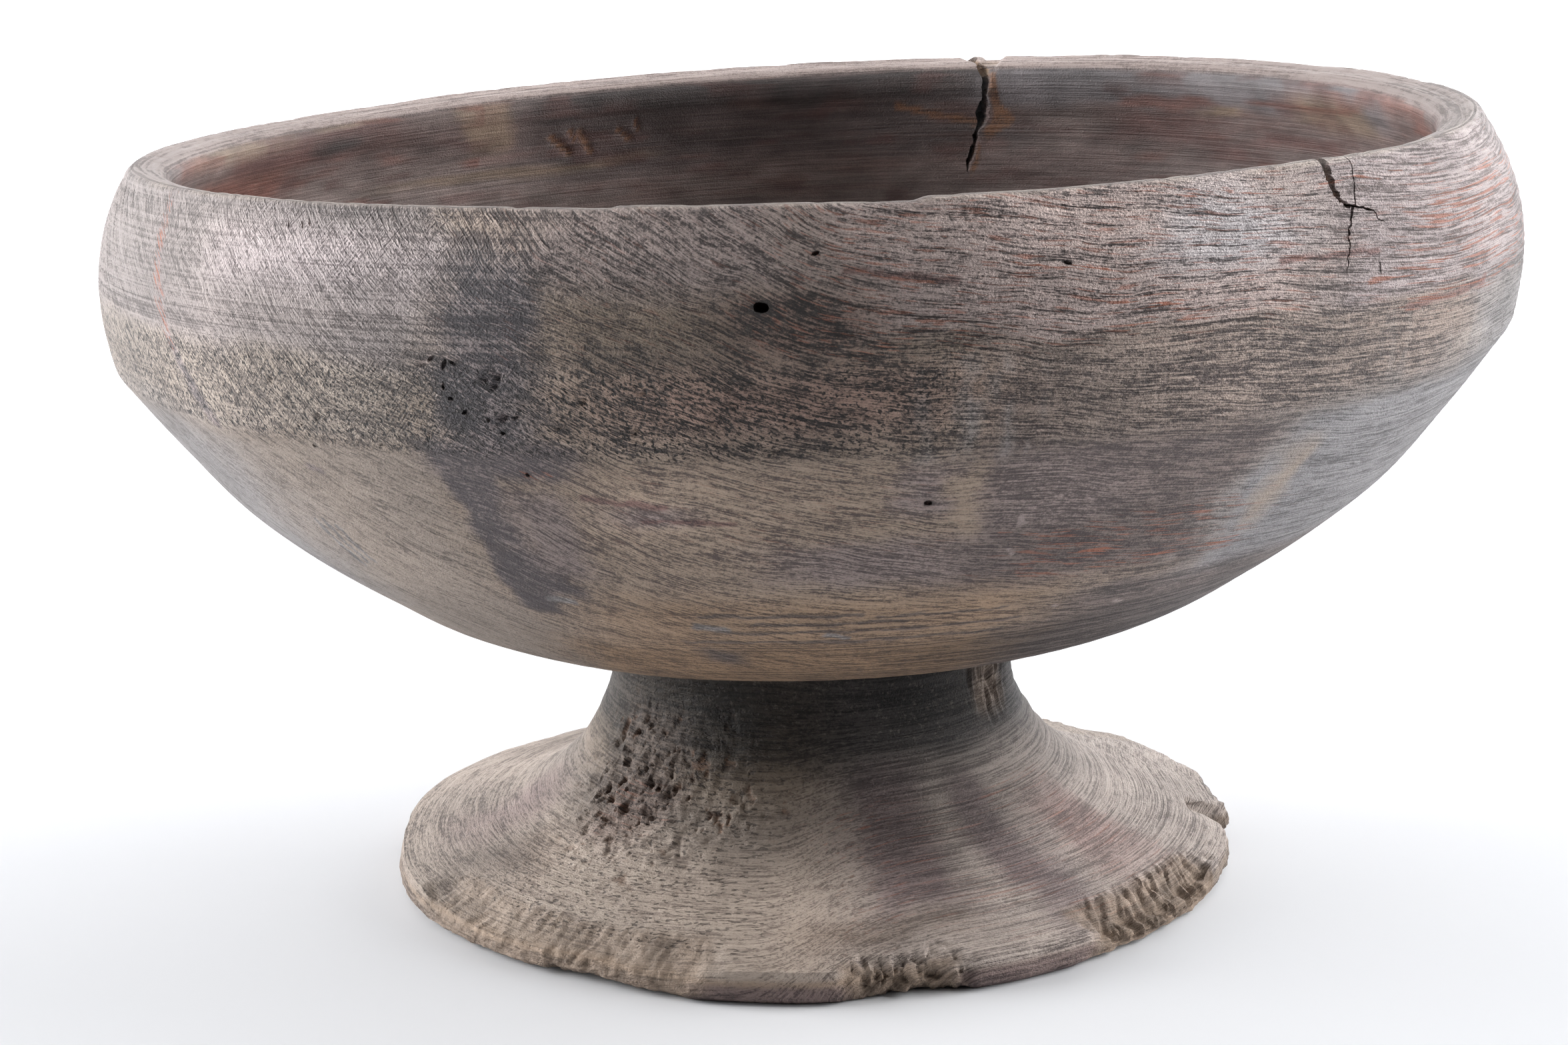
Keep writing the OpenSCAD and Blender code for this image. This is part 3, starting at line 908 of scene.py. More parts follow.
# Redder strokes: strength, half width and line.
RED_STROKES = [
    (1.0, 2.2, [(-60.5, 189), (-58.5, 172), (-56, 158)]),
    (0.9, 1.4, [(44, 159), (60, 160)]),
    (0.8, 0.9, [(-21, 138.3), (-17.5, 137.2)]),
    (0.9, 0.7, [(13.5, 120.6), (18, 120), (24, 119.6)]),
    (0.8, 0.6, [(16, 117.4), (22, 116)]),
    (1.1, 0.8, [(19, 114.6), (27, 113)]),
    (0.9, 0.6, [(17, 109.6), (26, 108.6)]),
    (1.1, 0.8, [(26, 109.8), (38, 109.2)]),
    (0.9, 0.6, [(27, 186.3), (46, 185.4), (56, 185.8)]),
    (1.0, 0.8, [(14, 177.5), (20, 175.2)]),
    (1.0, 0.9, [(18.5, 168.6), (25, 167.4)]),
    (0.9, 0.8, [(21, 164.4), (27, 163.6)]),
    (0.9, 1.2, [(41, 166), (50, 165.4)]),
    (0.8, 1.2, [(45, 170.5), (60, 169)]),
]
# Places on the front made lighter or darker than their tone, partly the wood's own tone and partly painted
# sheen that lightens the flanks: factor, angles, heights, softness.
TINTS = [
    (1.50, (-54, -32), (163, 187), (5, 3)),
    (1.45, (-32, -19), (172, 187), (3, 5)),
    (1.27, (-30, -18), (160, 173), (3, 3)),
    (0.82, (-17, 5), (163, 192), (4, 4)),
    (1.18, (13, 26), (163, 192), (4, 4)),
    (1.36, (26, 42), (161, 192), (5, 3)),
    (1.60, (42, 66), (161, 192), (5, 3)),
    (1.52, (-60, -30), (142, 162), (5, 2)),
    (1.15, (-28, -20), (144, 160), (2, 3)),
    (1.55, (-19, -7), (143, 160), (3, 3)),
    (1.26, (-5, 32), (143, 160), (4, 3)),
    (1.12, (6, 14), (143, 160), (2, 3)),
    (1.18, (20, 29), (150, 160), (3, 2)),
    (1.30, (28, 60), (143, 160), (4, 3)),
    (1.20, (-60, -29), (100, 140), (4, 4)),
    (1.16, (-19, 14), (106, 140), (4, 4)),
    (1.20, (-17, -8), (125, 136), (3, 3)),
    (1.22, (20, 33), (122, 141), (3, 3)),
    (1.30, (33, 60), (96, 138), (4, 4)),
    (1.40, (22, 40), (92, 104), (4, 3)),
    (1.15, (-24, 4), (80, 92), (4, 3)),
    (0.74, (9, 26), (78, 91), (3, 3)),
]
# Stains on the inner wall, with angles that grow from 90 at the right over 180 at the back.
INNER_ZONES = [
    ("inside pale", 0.46, (163, 232), (140, 161), (10, 4)),
    ("inside pale", 0.50, (208, 250), (158, 171), (8, 4)),
    ("inside dark", 0.50, (150, 210), (162, 189), (9, 4)),
    ("soot", 0.50, (157, 207), (178.5, 187.0), (6, 1.2)),
    ("slate", 0.42, (96, 157), (177, 188), (5, 2)),
    ("maroon", 0.40, (226, 252), (177, 187), (5, 3)),
    ("soot", 0.50, (229, 236), (178.5, 183.5), (2, 1.5)),
    ("inside red", 0.50, (240, 259), (168, 178), (4, 3)),
    ("maroon", 0.45, (107, 121), (167, 171), (2, 1.2)),
    ("maroon", 0.45, (121, 130), (161.5, 166), (2, 1.5)),
    ("maroon", 0.55, (129, 141), (166, 176), (4, 3)),
    ("inside tan", 0.42, (101, 114), (174.5, 182), (3, 2)),
    ("inside tan", 0.42, (123, 129), (175, 177.5), (2, 0.8)),
    ("inside tan", 0.40, (244, 264), (182.5, 188), (4, 1.5)),
    ("inside tan", 0.42, (228, 236), (186, 189), (2, 1)),
    ("inside tan", 0.42, (212, 217), (172, 187), (1.2, 3)),
    ("inside tan", 0.42, (196, 226), (164, 166.5), (5, 1)),
]
# Places on the inner wall that are lighter than their tone: factor, angles, heights, softness.
INNER_TINTS = [
    (1.42, (148, 218), (158, 188), (9, 5)),
    (1.20, (88, 130), (165, 190), (8, 6)),
]
# Torn wood beside the crack in the back wall, as lines of (angle, height) and half widths.
TORN_BY_CRACK = [
    ([(158.4, 171.0), (161, 172.4), (164, 174.0), (167.5, 176.6)], 1.1),
    ([(155.4, 184), (155.5, 179), (155.3, 174), (155.8, 170), (156.9, 167.6)], 1.8),
    ([(154.8, 174.5), (153.9, 171.6), (155.4, 169.8)], 1.3),
    ([(158.2, 163.5), (158.5, 159), (159.2, 156)], 0.7),
]
# Stains, lighter places and redder places on the foot, in the same way as the bowl's. The lighter places are
# painted light on the foot's upward-facing flat top.
FOOT_STAINS = [
    ("foot purple", 0.5, (9, 25), (12, 40), (5, 5)),
    ("foot purple", 0.5, (33, 44), (11, 34), (4, 5)),
    ("foot red", 0.5, (48, 64), (12, 26), (5, 5)),
    ("foot brown", 0.5, (-63, -50), (11, 18), (5, 4)),
    ("foot purple", 0.4, (-88, -70), (13, 24), (8, 5)),
    ("foot red", 0.5, (-52, -36), (22, 34), (7, 6)),
    ("foot brown", 0.5, (-3, 22), (9, 12.5), (6, 2)),
    ("foot purple", 0.5, (150, 175), (12, 34), (8, 6)),
    ("foot brown", 0.5, (-150, -120), (11, 24), (9, 6)),
]
# painted light: the foot's upward-facing flat top is lightened as if lit from higher up
FOOT_TINTS = [
    (1.36, (-60, 4), (9, 20), (8, 5)),
    (1.16, (4, 62), (9, 16), (5, 3)),
]
FOOT_REDS = [
    (0.35, (2, 66), (9, 30), (6, 4)),
    (0.3, (-55, -30), (20, 34), (6, 4)),
]
# What a mark says: how red the wood is, how strongly the tool's lines, crossed scratches, pores, rings and
# ring grooves show, and how crisp the finest grain is.
MARKS = ("red", "lines", "hatch", "pores", "waves", "grooves", "crisp")


class Paint:
    """The tones and marks of a set of points."""

    def __init__(self, count, tone, cover):
        self.face = np.tile(TONES[tone][0], (count, 1))
        self.deep = np.tile(TONES[tone][1], (count, 1))
        self.cover = np.full(count, float(cover))
        self.marks = {name: np.zeros(count) for name in MARKS}

    def lay(self, share, tone, cover):
        """Lays a tone over the others where the share is above 0."""
        face, deep = TONES[tone]
        self.face += share[:, None] * (np.array(face) - self.face)
        self.deep += share[:, None] * (np.array(deep) - self.deep)
        self.cover += share * (cover - self.cover)

    def lay_all(self, rows, f, z, share=1.0):
        """Lays the tone of each row of tone, share of dark, angles, heights and softness."""
        for tone, cover, *span in rows:
            self.lay(share * within(f, z, *span), tone, cover)

    def tint(self, amount):
        """Makes every tone lighter or darker by a factor."""
        self.face *= amount[:, None]
        self.deep *= amount[:, None]

    def tint_all(self, rows, f, z, share=1.0):
        """Tints by each row of factor, angles, heights and softness."""
        for factor, *span in rows:
            self.tint(1 + share * (factor - 1) * within(f, z, *span))

    def warm(self, amount):
        """Makes every tone redder and less blue."""
        for tone in (self.face, self.deep):
            tone[:, 0] *= 1 + 0.6 * amount
            tone[:, 2] *= 1 - amount

    def even_out(self, share):
        """Brings the light and dark tones closer together."""
        middle = (self.face + self.deep) / 2
        self.face += share[:, None] * (middle - self.face)
        self.deep += share[:, None] * (middle - self.deep)

    def mark(self, name, amount):
        """Raises a mark to an amount where it is lower."""
        self.marks[name] = np.maximum(self.marks[name], amount)

    def mark_all(self, name, rows, f, z):
        """Raises a mark by each row of strength, angles, heights and softness."""
        for strength, *span in rows:
            self.mark(name, strength * within(f, z, *span))

    def write(self, me, wood, lathe, hatch):
        """Stores the tones, marks and texture coordinates as attributes of the mesh."""

        def store(name, kind, values):
            layer = me.attributes.new(name, kind, "POINT")
            slot = "color" if kind == "FLOAT_COLOR" else "vector"
            layer.data.foreach_set(slot, np.ascontiguousarray(values, np.float32).ravel())

        store("face", "FLOAT_COLOR", np.column_stack([self.face, self.cover]))
        store("deep", "FLOAT_COLOR", np.column_stack([self.deep, self.marks["pores"]]))
        for layer, names in (("marks", ("red", "lines", "hatch")), ("rings", ("waves", "grooves", "crisp"))):
            store(layer, "FLOAT_VECTOR", np.column_stack([self.marks[name] for name in names]))
        store("wood", "FLOAT_VECTOR", wood)
        store("lathe", "FLOAT_VECTOR", lathe)
        store("hatch", "FLOAT_VECTOR", hatch)


def within(f, z, angles, heights, soft):
    """1 inside a span of angles and heights and 0 outside it."""
    across = ramp(-soft[0], soft[0], f - angles[0]) * ramp(-soft[0], soft[0], angles[1] - f)
    return across * ramp(-soft[1], soft[1], z - heights[0]) * ramp(-soft[1], soft[1], heights[1] - z)


def stain_outside(paint, p, f, z, fw, zw, folded):
    """Lays the stains, patches, strokes and pale haze of the outside, with painted sheen in the pale band
    and on the lighter flanks.
    """
    paint.lay_all(ZONES, folded, zw)
    near_f = f + 0.9 * noise(p, 6, 85, 3)
    near_z = z + 0.9 * noise(p, 6, 86, 3)
    paint.lay_all(PATCHES, near_f, near_z)
    for tone, cover, half, line in STROKES:
        ragged = along_stroke(f + 0.25 * noise(p, 3, 87), z + 0.6 * noise(p, 3, 88), line, half)
        paint.lay(ragged * 0.85, tone, cover)
    # the tints: partly the wood's own tone, partly painted sheen that lightens the flanks
    paint.tint_all(TINTS, fw, zw)
    # pale haze that has run down the front in faint vertical bands
    bands = bump(f, 7.2, 0.9) + bump(f, 10.3, 0.6) + 0.8 * bump(f, 12.8, 0.7)
    bands += 0.6 * ramp(0, 0.7, noise(p, (2, 2, 40), 96))
    drips = np.minimum(bands, 1) * ramp(-0.5, 0.5, noise(p, (3, 3, 5), 97, 2))
    hazy = within(near_f, near_z, (6.5, 16), (140, 161), (2, 3))
    hazy = hazy + 0.6 * within(near_f, near_z, (37, 50), (143, 158), (3, 3))
    paint.lay(0.6 * np.minimum(hazy, 1) * drips, "haze", 0.4)


def mark_outside(paint, p, w, f, z, fw, zw, folded):
    """Marks where the outside is red, lined, scratched, pitted or ridged, and varies how light it is, partly
    with painted light.
    """
    upper = ramp(158, 163, z)
    middle = ramp(140, 143, z) * ramp(163, 158, z)
    left = ramp(-12, -30, folded)
    paint.mark("red", 0.62 * upper * ramp(-12, 4, folded) * ramp(44, 34, folded))
    paint.mark("red", 0.25 * upper * ramp(-34, -20, folded))
    paint.mark_all("red", RED_SPANS, fw, zw)
    for strength, half, line in RED_STROKES:
        drawn = along_stroke(fw * 0.15 + f * 0.85, z + 0.5 * noise(p, 4, 89), line, half)
        paint.mark("red", strength * drawn)
    paint.mark("lines", left * (upper * (0.45 + 0.55 * ramp(175, 168, z)) + 0.25 * middle) + 0.22)
    paint.mark("lines", 0.9 * ramp(104, 101, z) * ramp(-20, -12, folded) + 0.5 * ramp(96, 90, z))
    hatched = 0.7 * upper * ramp(172, 180, z) + 0.3 * upper + 0.8 * middle + 0.3 * ramp(142, 130, z)
    paint.mark("hatch", ramp(-14, -26, folded) * ramp(-70, -58, folded) * hatched)
    paint.marks["waves"] = ring_waves(w, RING_PERIOD, 7)
    paint.mark("grooves", ridge_share(f, z) * upper * ramp(RIM_Z - 1.0, RIM_Z - 3.0, z))
    paint.mark("pores", middle * (0.35 + 0.65 * ramp(14, 4, folded)) + 0.3 * upper * left + 0.12)
    paint.tint(1 + 0.10 * noise(p, 26, 90, 3) + 0.06 * noise(w, (40, 5, 3), 91, 2))
    # painted light: the upward-facing top of the band is lightened as if lit from above, over its paler
    # weathered ridges
    paint.tint(1 + 0.22 * ramp(174, 185, z) * ramp(-70, -50, folded) * ramp(56, 42, folded))
    facing = ramp(-60, -30, folded) * ramp(75, 45, folded)
    paint.mark("crisp", (0.55 + 0.45 * ramp(140, 144, z)) * facing + 0.3)


def paint_rim(paint, p, f, r, z):
    """Paints the rim's top, with painted shade at the front and painted light at the back, and its paler
    crest of worn wood with a painted highlight, and gives how much each point belongs to the top.
    """
    top = ramp(2.2, 0.8, look_up(from_rim, r, z)) * ramp(RIM_Z - 4, RIM_Z - 2.4, z)
    top *= ramp(-1.0, -2.6, r - rim_edge[0])
    paint.lay(top, "rim", 0.4)
    # painted light and shade: the rim's top is darkened at the front and lightened at the back, where the
    # back lights fall on it
    paint.tint(1 - top * (0.25 * ramp(110, 80, np.abs(f)) - 0.30 * ramp(110, 140, np.abs(f))))
    # the crest: a worn pale line with a painted highlight along the front
    crest = ramp(RIM_Z - 1.2, RIM_Z - 0.5, z) * (r > rim_edge[0] - 3.8)
    crest *= ramp(-0.8, 0.4, noise(p, (6, 6, 2), 106, 2)) * ramp(75, 55, np.abs(f))
    paint.lay(0.45 * crest, "crest", 0.2)
    return top


def paint_inside(paint, p, f, z, inside):
    """Lays the stains, redness, scars and torn wood of the inner wall."""
    paint.lay(inside, "inside", 0.5 + 0.12 * noise(p, (60, 60, 3), 92, 2))
    pale = inside * ramp(0.2, 0.7, noise(p, (50, 50, 5), 93, 2) + 0.4 * ramp(150, 130, z))
    paint.lay(0.6 * pale, "inside pale", 0.45)
    uneven_f = f % 360 + 2.0 * noise(p, 12, 98, 3)
    uneven_z = z + 1.4 * noise(p, (24, 24, 5), 99, 3)
    paint.lay_all(INNER_ZONES, uneven_f, uneven_z, 0.9 * inside)
    red = inside * ramp(0.25, 0.6, noise(p, (30, 30, 2.4), 94, 2)) * (0.3 + 0.7 * (np.abs(f) < 145))
    paint.lay(0.7 * red, "inside red", 0.5)
    maroon = inside * ramp(0.25, 0.8, noise(p, (16, 16, 4), 110, 3))
    paint.lay(0.55 * maroon, "maroon", 0.5)
    paint.even_out(0.75 * inside)
    paint.tint(1 + inside * 0.26 * noise(p, (8, 8, 3.2), 111, 3))
    paint.tint_all(INNER_TINTS, f % 360, z, inside)
    for line, half in INNER_SCARS:
        paint.lay(inside * 0.9 * along_stroke(f, z, line, half), "flake", 0.4)
    shaky_f = f + 0.15 * noise(p, 2, 107, 2)
    for line, half in TORN_BY_CRACK:
        paint.lay(0.9 * inside * along_stroke(shaky_f, z, line, half), "flake", 0.4)


def paint_cuts(paint, p, f, r, z, d_in, d_out):
    """Paints the wood laid bare in the cracks and holes, with painted shade deep in the back crack and in
    the holes, and gives how bare each point is.
    """
    bare = ramp(1.2, 2.0, d_in) * ramp(1.2, 2.0, d_out) * ramp(1.0, 1.8, look_up(from_rim, r, z)) * (z > 100)
    paint.lay(bare, "fresh", 0.4 + 0.2 * noise(p, 2.5, 95))
    # painted shade: deep in the back crack, below the rim, the wood is painted black
    paint.lay(bare * (np.abs(f) > 90) * ramp(RIM_Z - 5, RIM_Z - 7, z), "black", 0.9)
    # painted shade in the holes, darker the deeper a hole is
    for at, half, depth, _ in HOLES:
        sideways = np.radians(turn_to(f, at[0])) * BELLY_R
        near = ramp(1.25, 1.0, np.hypot(sideways / half[0], (z - at[1]) / half[1]))
        near *= min(0.35 + depth / 5, 1)
        paint.lay(near * (r > 140) * ramp(-0.2, 0.5, d_out + 0.3 * bare), "hollow", 0.7)
    return bare


def paint_bowl(ob):
    """Gives the bowl, or the chip that was cut from it, its tones and marks."""
    p = coordinates(ob)
    f, r, z = turned(p)
    w = in_wood(p)
    paint = Paint(len(p), "tan", 0.45)
    # uneven edges for the stains
    fw = f + 2.6 * noise(p, 14, 81, 3) + 0.8 * noise(p, (3, 3, 9), 82, 2)
    zw = z + 2.2 * noise(p, (30, 30, 9), 83, 3) + 0.5 * noise(p, 3, 84, 2)
    folded = np.where(np.abs(fw) <= 90, fw, turn_to(fw, 180))
    stain_outside(paint, p, f, z, fw, zw, folded)
    mark_outside(paint, p, w, f, z, fw, zw, folded)
    top = paint_rim(paint, p, f, r, z)
    d_in, d_out = look_up(from_inside, r, z), look_up(from_outside, r, z)
    inside = ramp(3.2, 2.0, d_in) * (1 - top)
    paint_inside(paint, p, f, z, inside)
    bare = paint_cuts(paint, p, f, r, z, d_in, d_out)
    # the outside's marks fade on the rim, on the inside and in the cuts
    covered = np.maximum(bare, np.maximum(inside, top))
    for name in ("red", "hatch", "pores", "grooves"):
        paint.marks[name] *= 1 - 0.9 * covered
    paint.mark("lines", 0.3 * np.maximum(inside, top))
    paint.marks["crisp"] *= 1 - 0.6 * covered
    s = np.radians(f) * BELLY_R
    lathe = np.stack([r * np.cos(np.radians(f)), r * np.sin(np.radians(f)), z], -1)
    # on the rim and the inside the grain's streaks run round with the tool
    cut = np.column_stack([w[:, 0], w[:, 1], ring_depth(w)])
    round_about = np.column_stack([p[:, 0] * 0.6, p[:, 1] * 0.16, 0.6 * (z + 0.35 * r)])
    inward = (d_in < 2.5) | ((z > RIM_Z - 8) & (r < rim_edge[0] - 2.5))
    cut = np.where(inward[:, None], round_about, cut)
    paint.write(ob.data, cut, lathe, np.column_stack([s + z, s - z, z]))


def paint_foot_edge(paint, p, f, fw, r, z, end):
    """Paints the foot's edge, where its top has broken off, and what lies under the foot."""
    # the bevel's lower edge, an orange-tan line of broken wood with a painted highlight, and the broken side
    # face
    side = ramp(EDGE_T - 1.5, EDGE_T - 3.5, z) * (r > 0.85 * FOOT_R)
    line = bump(z, EDGE_T - 2.6, 1.3) * ramp(0.2, 0.5, end) * (r > 0.9 * FOOT_R)
    broken = between(f, (-16, 4), 1.5) + between(f, (17, 36), 1.5)
    paint.lay(side, "foot brown", 0.45)
    paint.lay(side * np.minimum(broken, 1), "foot purple", 0.45)
    for angles, start, _, groove in BREAKS:
        torn_off = ramp(start - 0.01, start + 0.02, r / FOOT_R) * between(fw, angles, 1.5) * (z > 0.8)
        torn_off *= min(0.4 + groove, 1)
        paint.lay(0.75 * torn_off, "foot edge", 0.45)
        paint.even_out(0.7 * torn_off)
        paint.tint(1 + torn_off * 0.30 * noise(p, 3.5, 109, 3))
    # the bevel's lower edge: orange-tan broken wood with a painted highlight
    paint.lay(0.7 * np.clip(line + 0.4 * line * noise(p, 4, 103), 0, 1), "foot edge", 0.15)
    under = ramp(0.8, 0.2, z) * ramp(FOOT_R - 2, FOOT_R - 4, r) + (z < DISH + 0.5) * (r < FOOT_R - 8)
    paint.lay(np.minimum(under, 1), "foot brown", 0.5)


def paint_foot(ob):
    """Gives the foot its tones and marks."""
    p = coordinates(ob)
    x, y, z = p[:, 0] - FOOT_AT[0], p[:, 1] - FOOT_AT[1], p[:, 2]
    f, r = turn_to(np.degrees(np.arctan2(y, x)) + 90, 0), np.hypot(x, y)
    w = in_wood(p)
    end = 1 - grain_angle(f)
    paint = Paint(len(p), "foot", 0.42)
    paint.lay(ramp(0.3, 0.7, end), "foot left", 0.4)
    paint.tint(1 - 0.18 * ramp(-48, -60, f) * ramp(-120, -90, f))
    fw = f + 3.5 * noise(p, 16, 101, 3)
    zw = z + 2.5 * noise(p, (24, 24, 14), 102, 3)
    paint.lay_all(FOOT_STAINS, fw, zw, 0.95)
    paint.tint_all(FOOT_TINTS, fw, z)
    # the foot darkens up its flare and neck: partly a dark stain, partly painted shade under the overhanging
    # bowl, darkest at the front
    paint.tint((1 - 0.40 * ramp(16, 29, zw)) * (1 + 0.07 * ramp(-100, -80, f) * ramp(100, 80, f)))
    paint.lay(ramp(30, 44, zw), "neck", 0.5)
    shaded = bump(f, -24, 26) + bump(f, 31, 26)
    paint.tint(1 - ramp(37, 52, zw) * np.minimum(0.34 * ramp(62, 48, np.abs(f)) + 0.42 * shaded, 0.75))
    paint.warm((0.11 * ramp(25, 40, zw) * ramp(10, -10, f) - 0.05 * ramp(-5, 15, f)) * (np.abs(f) < 120))
    paint.lay(0.7 * within(f, z, (51, 64), (45, 59), (3, 4)), "foot brown", 0.55)
    paint.lay(0.75 * within(fw, zw, (-62, -34), (23, 46), (7, 5)), "rot", 0.5)
    paint.lay(0.6 * within(fw, zw, (-67, -54), (10.5, 14.5), (4, 2)), "rot", 0.4)
    cavity = np.empty(len(p), np.float32)
    ob.data.attributes["cavity"].data.foreach_get("value", cavity)
    around = ramp(0.02, 0.2, cavity) * ramp(1.0, 0.3, cavity) * ramp(-0.2, 0.5, noise(p, 5, 78, 2))
    paint.lay(0.45 * around, "flake", 0.7)
    # painted shade in the deepest pits of the rotten wood
    paint.lay(0.55 * ramp(0.35, 1.0, cavity), "hollow", 0.6)
    paint_foot_edge(paint, p, f, fw, r, z, end)
    flat = ramp(EDGE_T, EDGE_T + 2, z)
    side_on = ramp(0.3, 0.8, grain_angle(f)) * ramp(-15, 5, f)
    paint.mark("lines", flat * (0.05 + 0.50 * side_on))
    paint.mark("pores", flat * ramp(0.3, 0.8, end) * 0.5 + 0.25)
    paint.mark("crisp", 0.34 + 0.22 * side_on)
    paint.even_out(flat * (0.15 + 0.15 * side_on))
    paint.mark_all("red", FOOT_REDS, fw, zw)
    paint.tint(1 + 0.10 * noise(p, 22, 104, 3) + 0.08 * noise(w, (30, 5, 4), 105, 2))
    lathe = np.column_stack([x, y, z - r])
    # the streaks run round with the tool, and are short where the end of the grain shows
    streaks = np.column_stack([x * 0.6, y * 0.3, 0.75 * (z - r)])
    short = (1 - side_on)[:, None]
    paint.write(ob.data, streaks * (1 + short * (1.3, 1.6, -0.3)), lathe, np.zeros_like(p))


# ---------------------------------------------------------------- materials
class Shader:
    """Builds a material's nodes, each from plain values or other nodes' outputs."""

    def __init__(self, name):
        self.material = bpy.data.materials.new(name)
        self.material.use_nodes = True
        self.tree = self.material.node_tree
        self.surface = self.tree.nodes["Principled BSDF"]

    def node(self, kind, inputs, **settings):
        n = self.tree.nodes.new(kind)
        for key, value in settings.items():
            setattr(n, key, value)
        for key, value in inputs.items():
            if isinstance(value, bpy.types.NodeSocket):
                self.tree.links.new(value, n.inputs[key])
            else:
                n.inputs[key].default_value = value
        return n

    def attribute(self, name):
        return self.node("ShaderNodeAttribute", {}, attribute_name=name)

    def math(self, operation, a, b):
        return self.node("ShaderNodeMath", {0: a, 1: b}, operation=operation).outputs[0]

    def add(self, *terms):
        total = terms[0]
        for term in terms[1:]:
            total = self.math("ADD", total, term)
        return total

    def scaled(self, a, b):
        return self.math("MULTIPLY", a, b)

    def noise(self, vector, size, detail=2.0, rough=0.55):
        """Noise from about -1 to 1, with lumps of the given size in the vector's units."""
        stretch = {0: vector, 1: [1 / v for v in size]}
        stretched = self.node("ShaderNodeVectorMath", stretch, operation="MULTIPLY").outputs[0]
        look = {"Vector": stretched, "Scale": 1.0, "Detail": detail, "Roughness": rough}
        out = self.node("ShaderNodeTexNoise", look).outputs[0]
        spread = {"Value": out, "From Min": 0.3, "From Max": 0.7, "To Min": -1.0, "To Max": 1.0}
        return self.node("ShaderNodeMapRange", spread, clamp=False).outputs[0]

    def step(self, value, low, high):
        """0 below low, 1 above high and smooth between."""
        span = {"Value": value, "From Min": low, "From Max": high}
        return self.node("ShaderNodeMapRange", span, interpolation_type="SMOOTHSTEP").outputs[0]

    def mix(self, share, a, b):
        return self.node("ShaderNodeMix", {0: share, 6: a, 7: b}, data_type="RGBA").outputs[2]


DUST = (0.36, 0.31, 0.27, 1)
REDDISH = (0.33, 0.118, 0.070, 1)
PORE_DARK = (0.022, 0.018, 0.018, 1)
GROOVE_DARK = (0.050, 0.038, 0.036, 1)


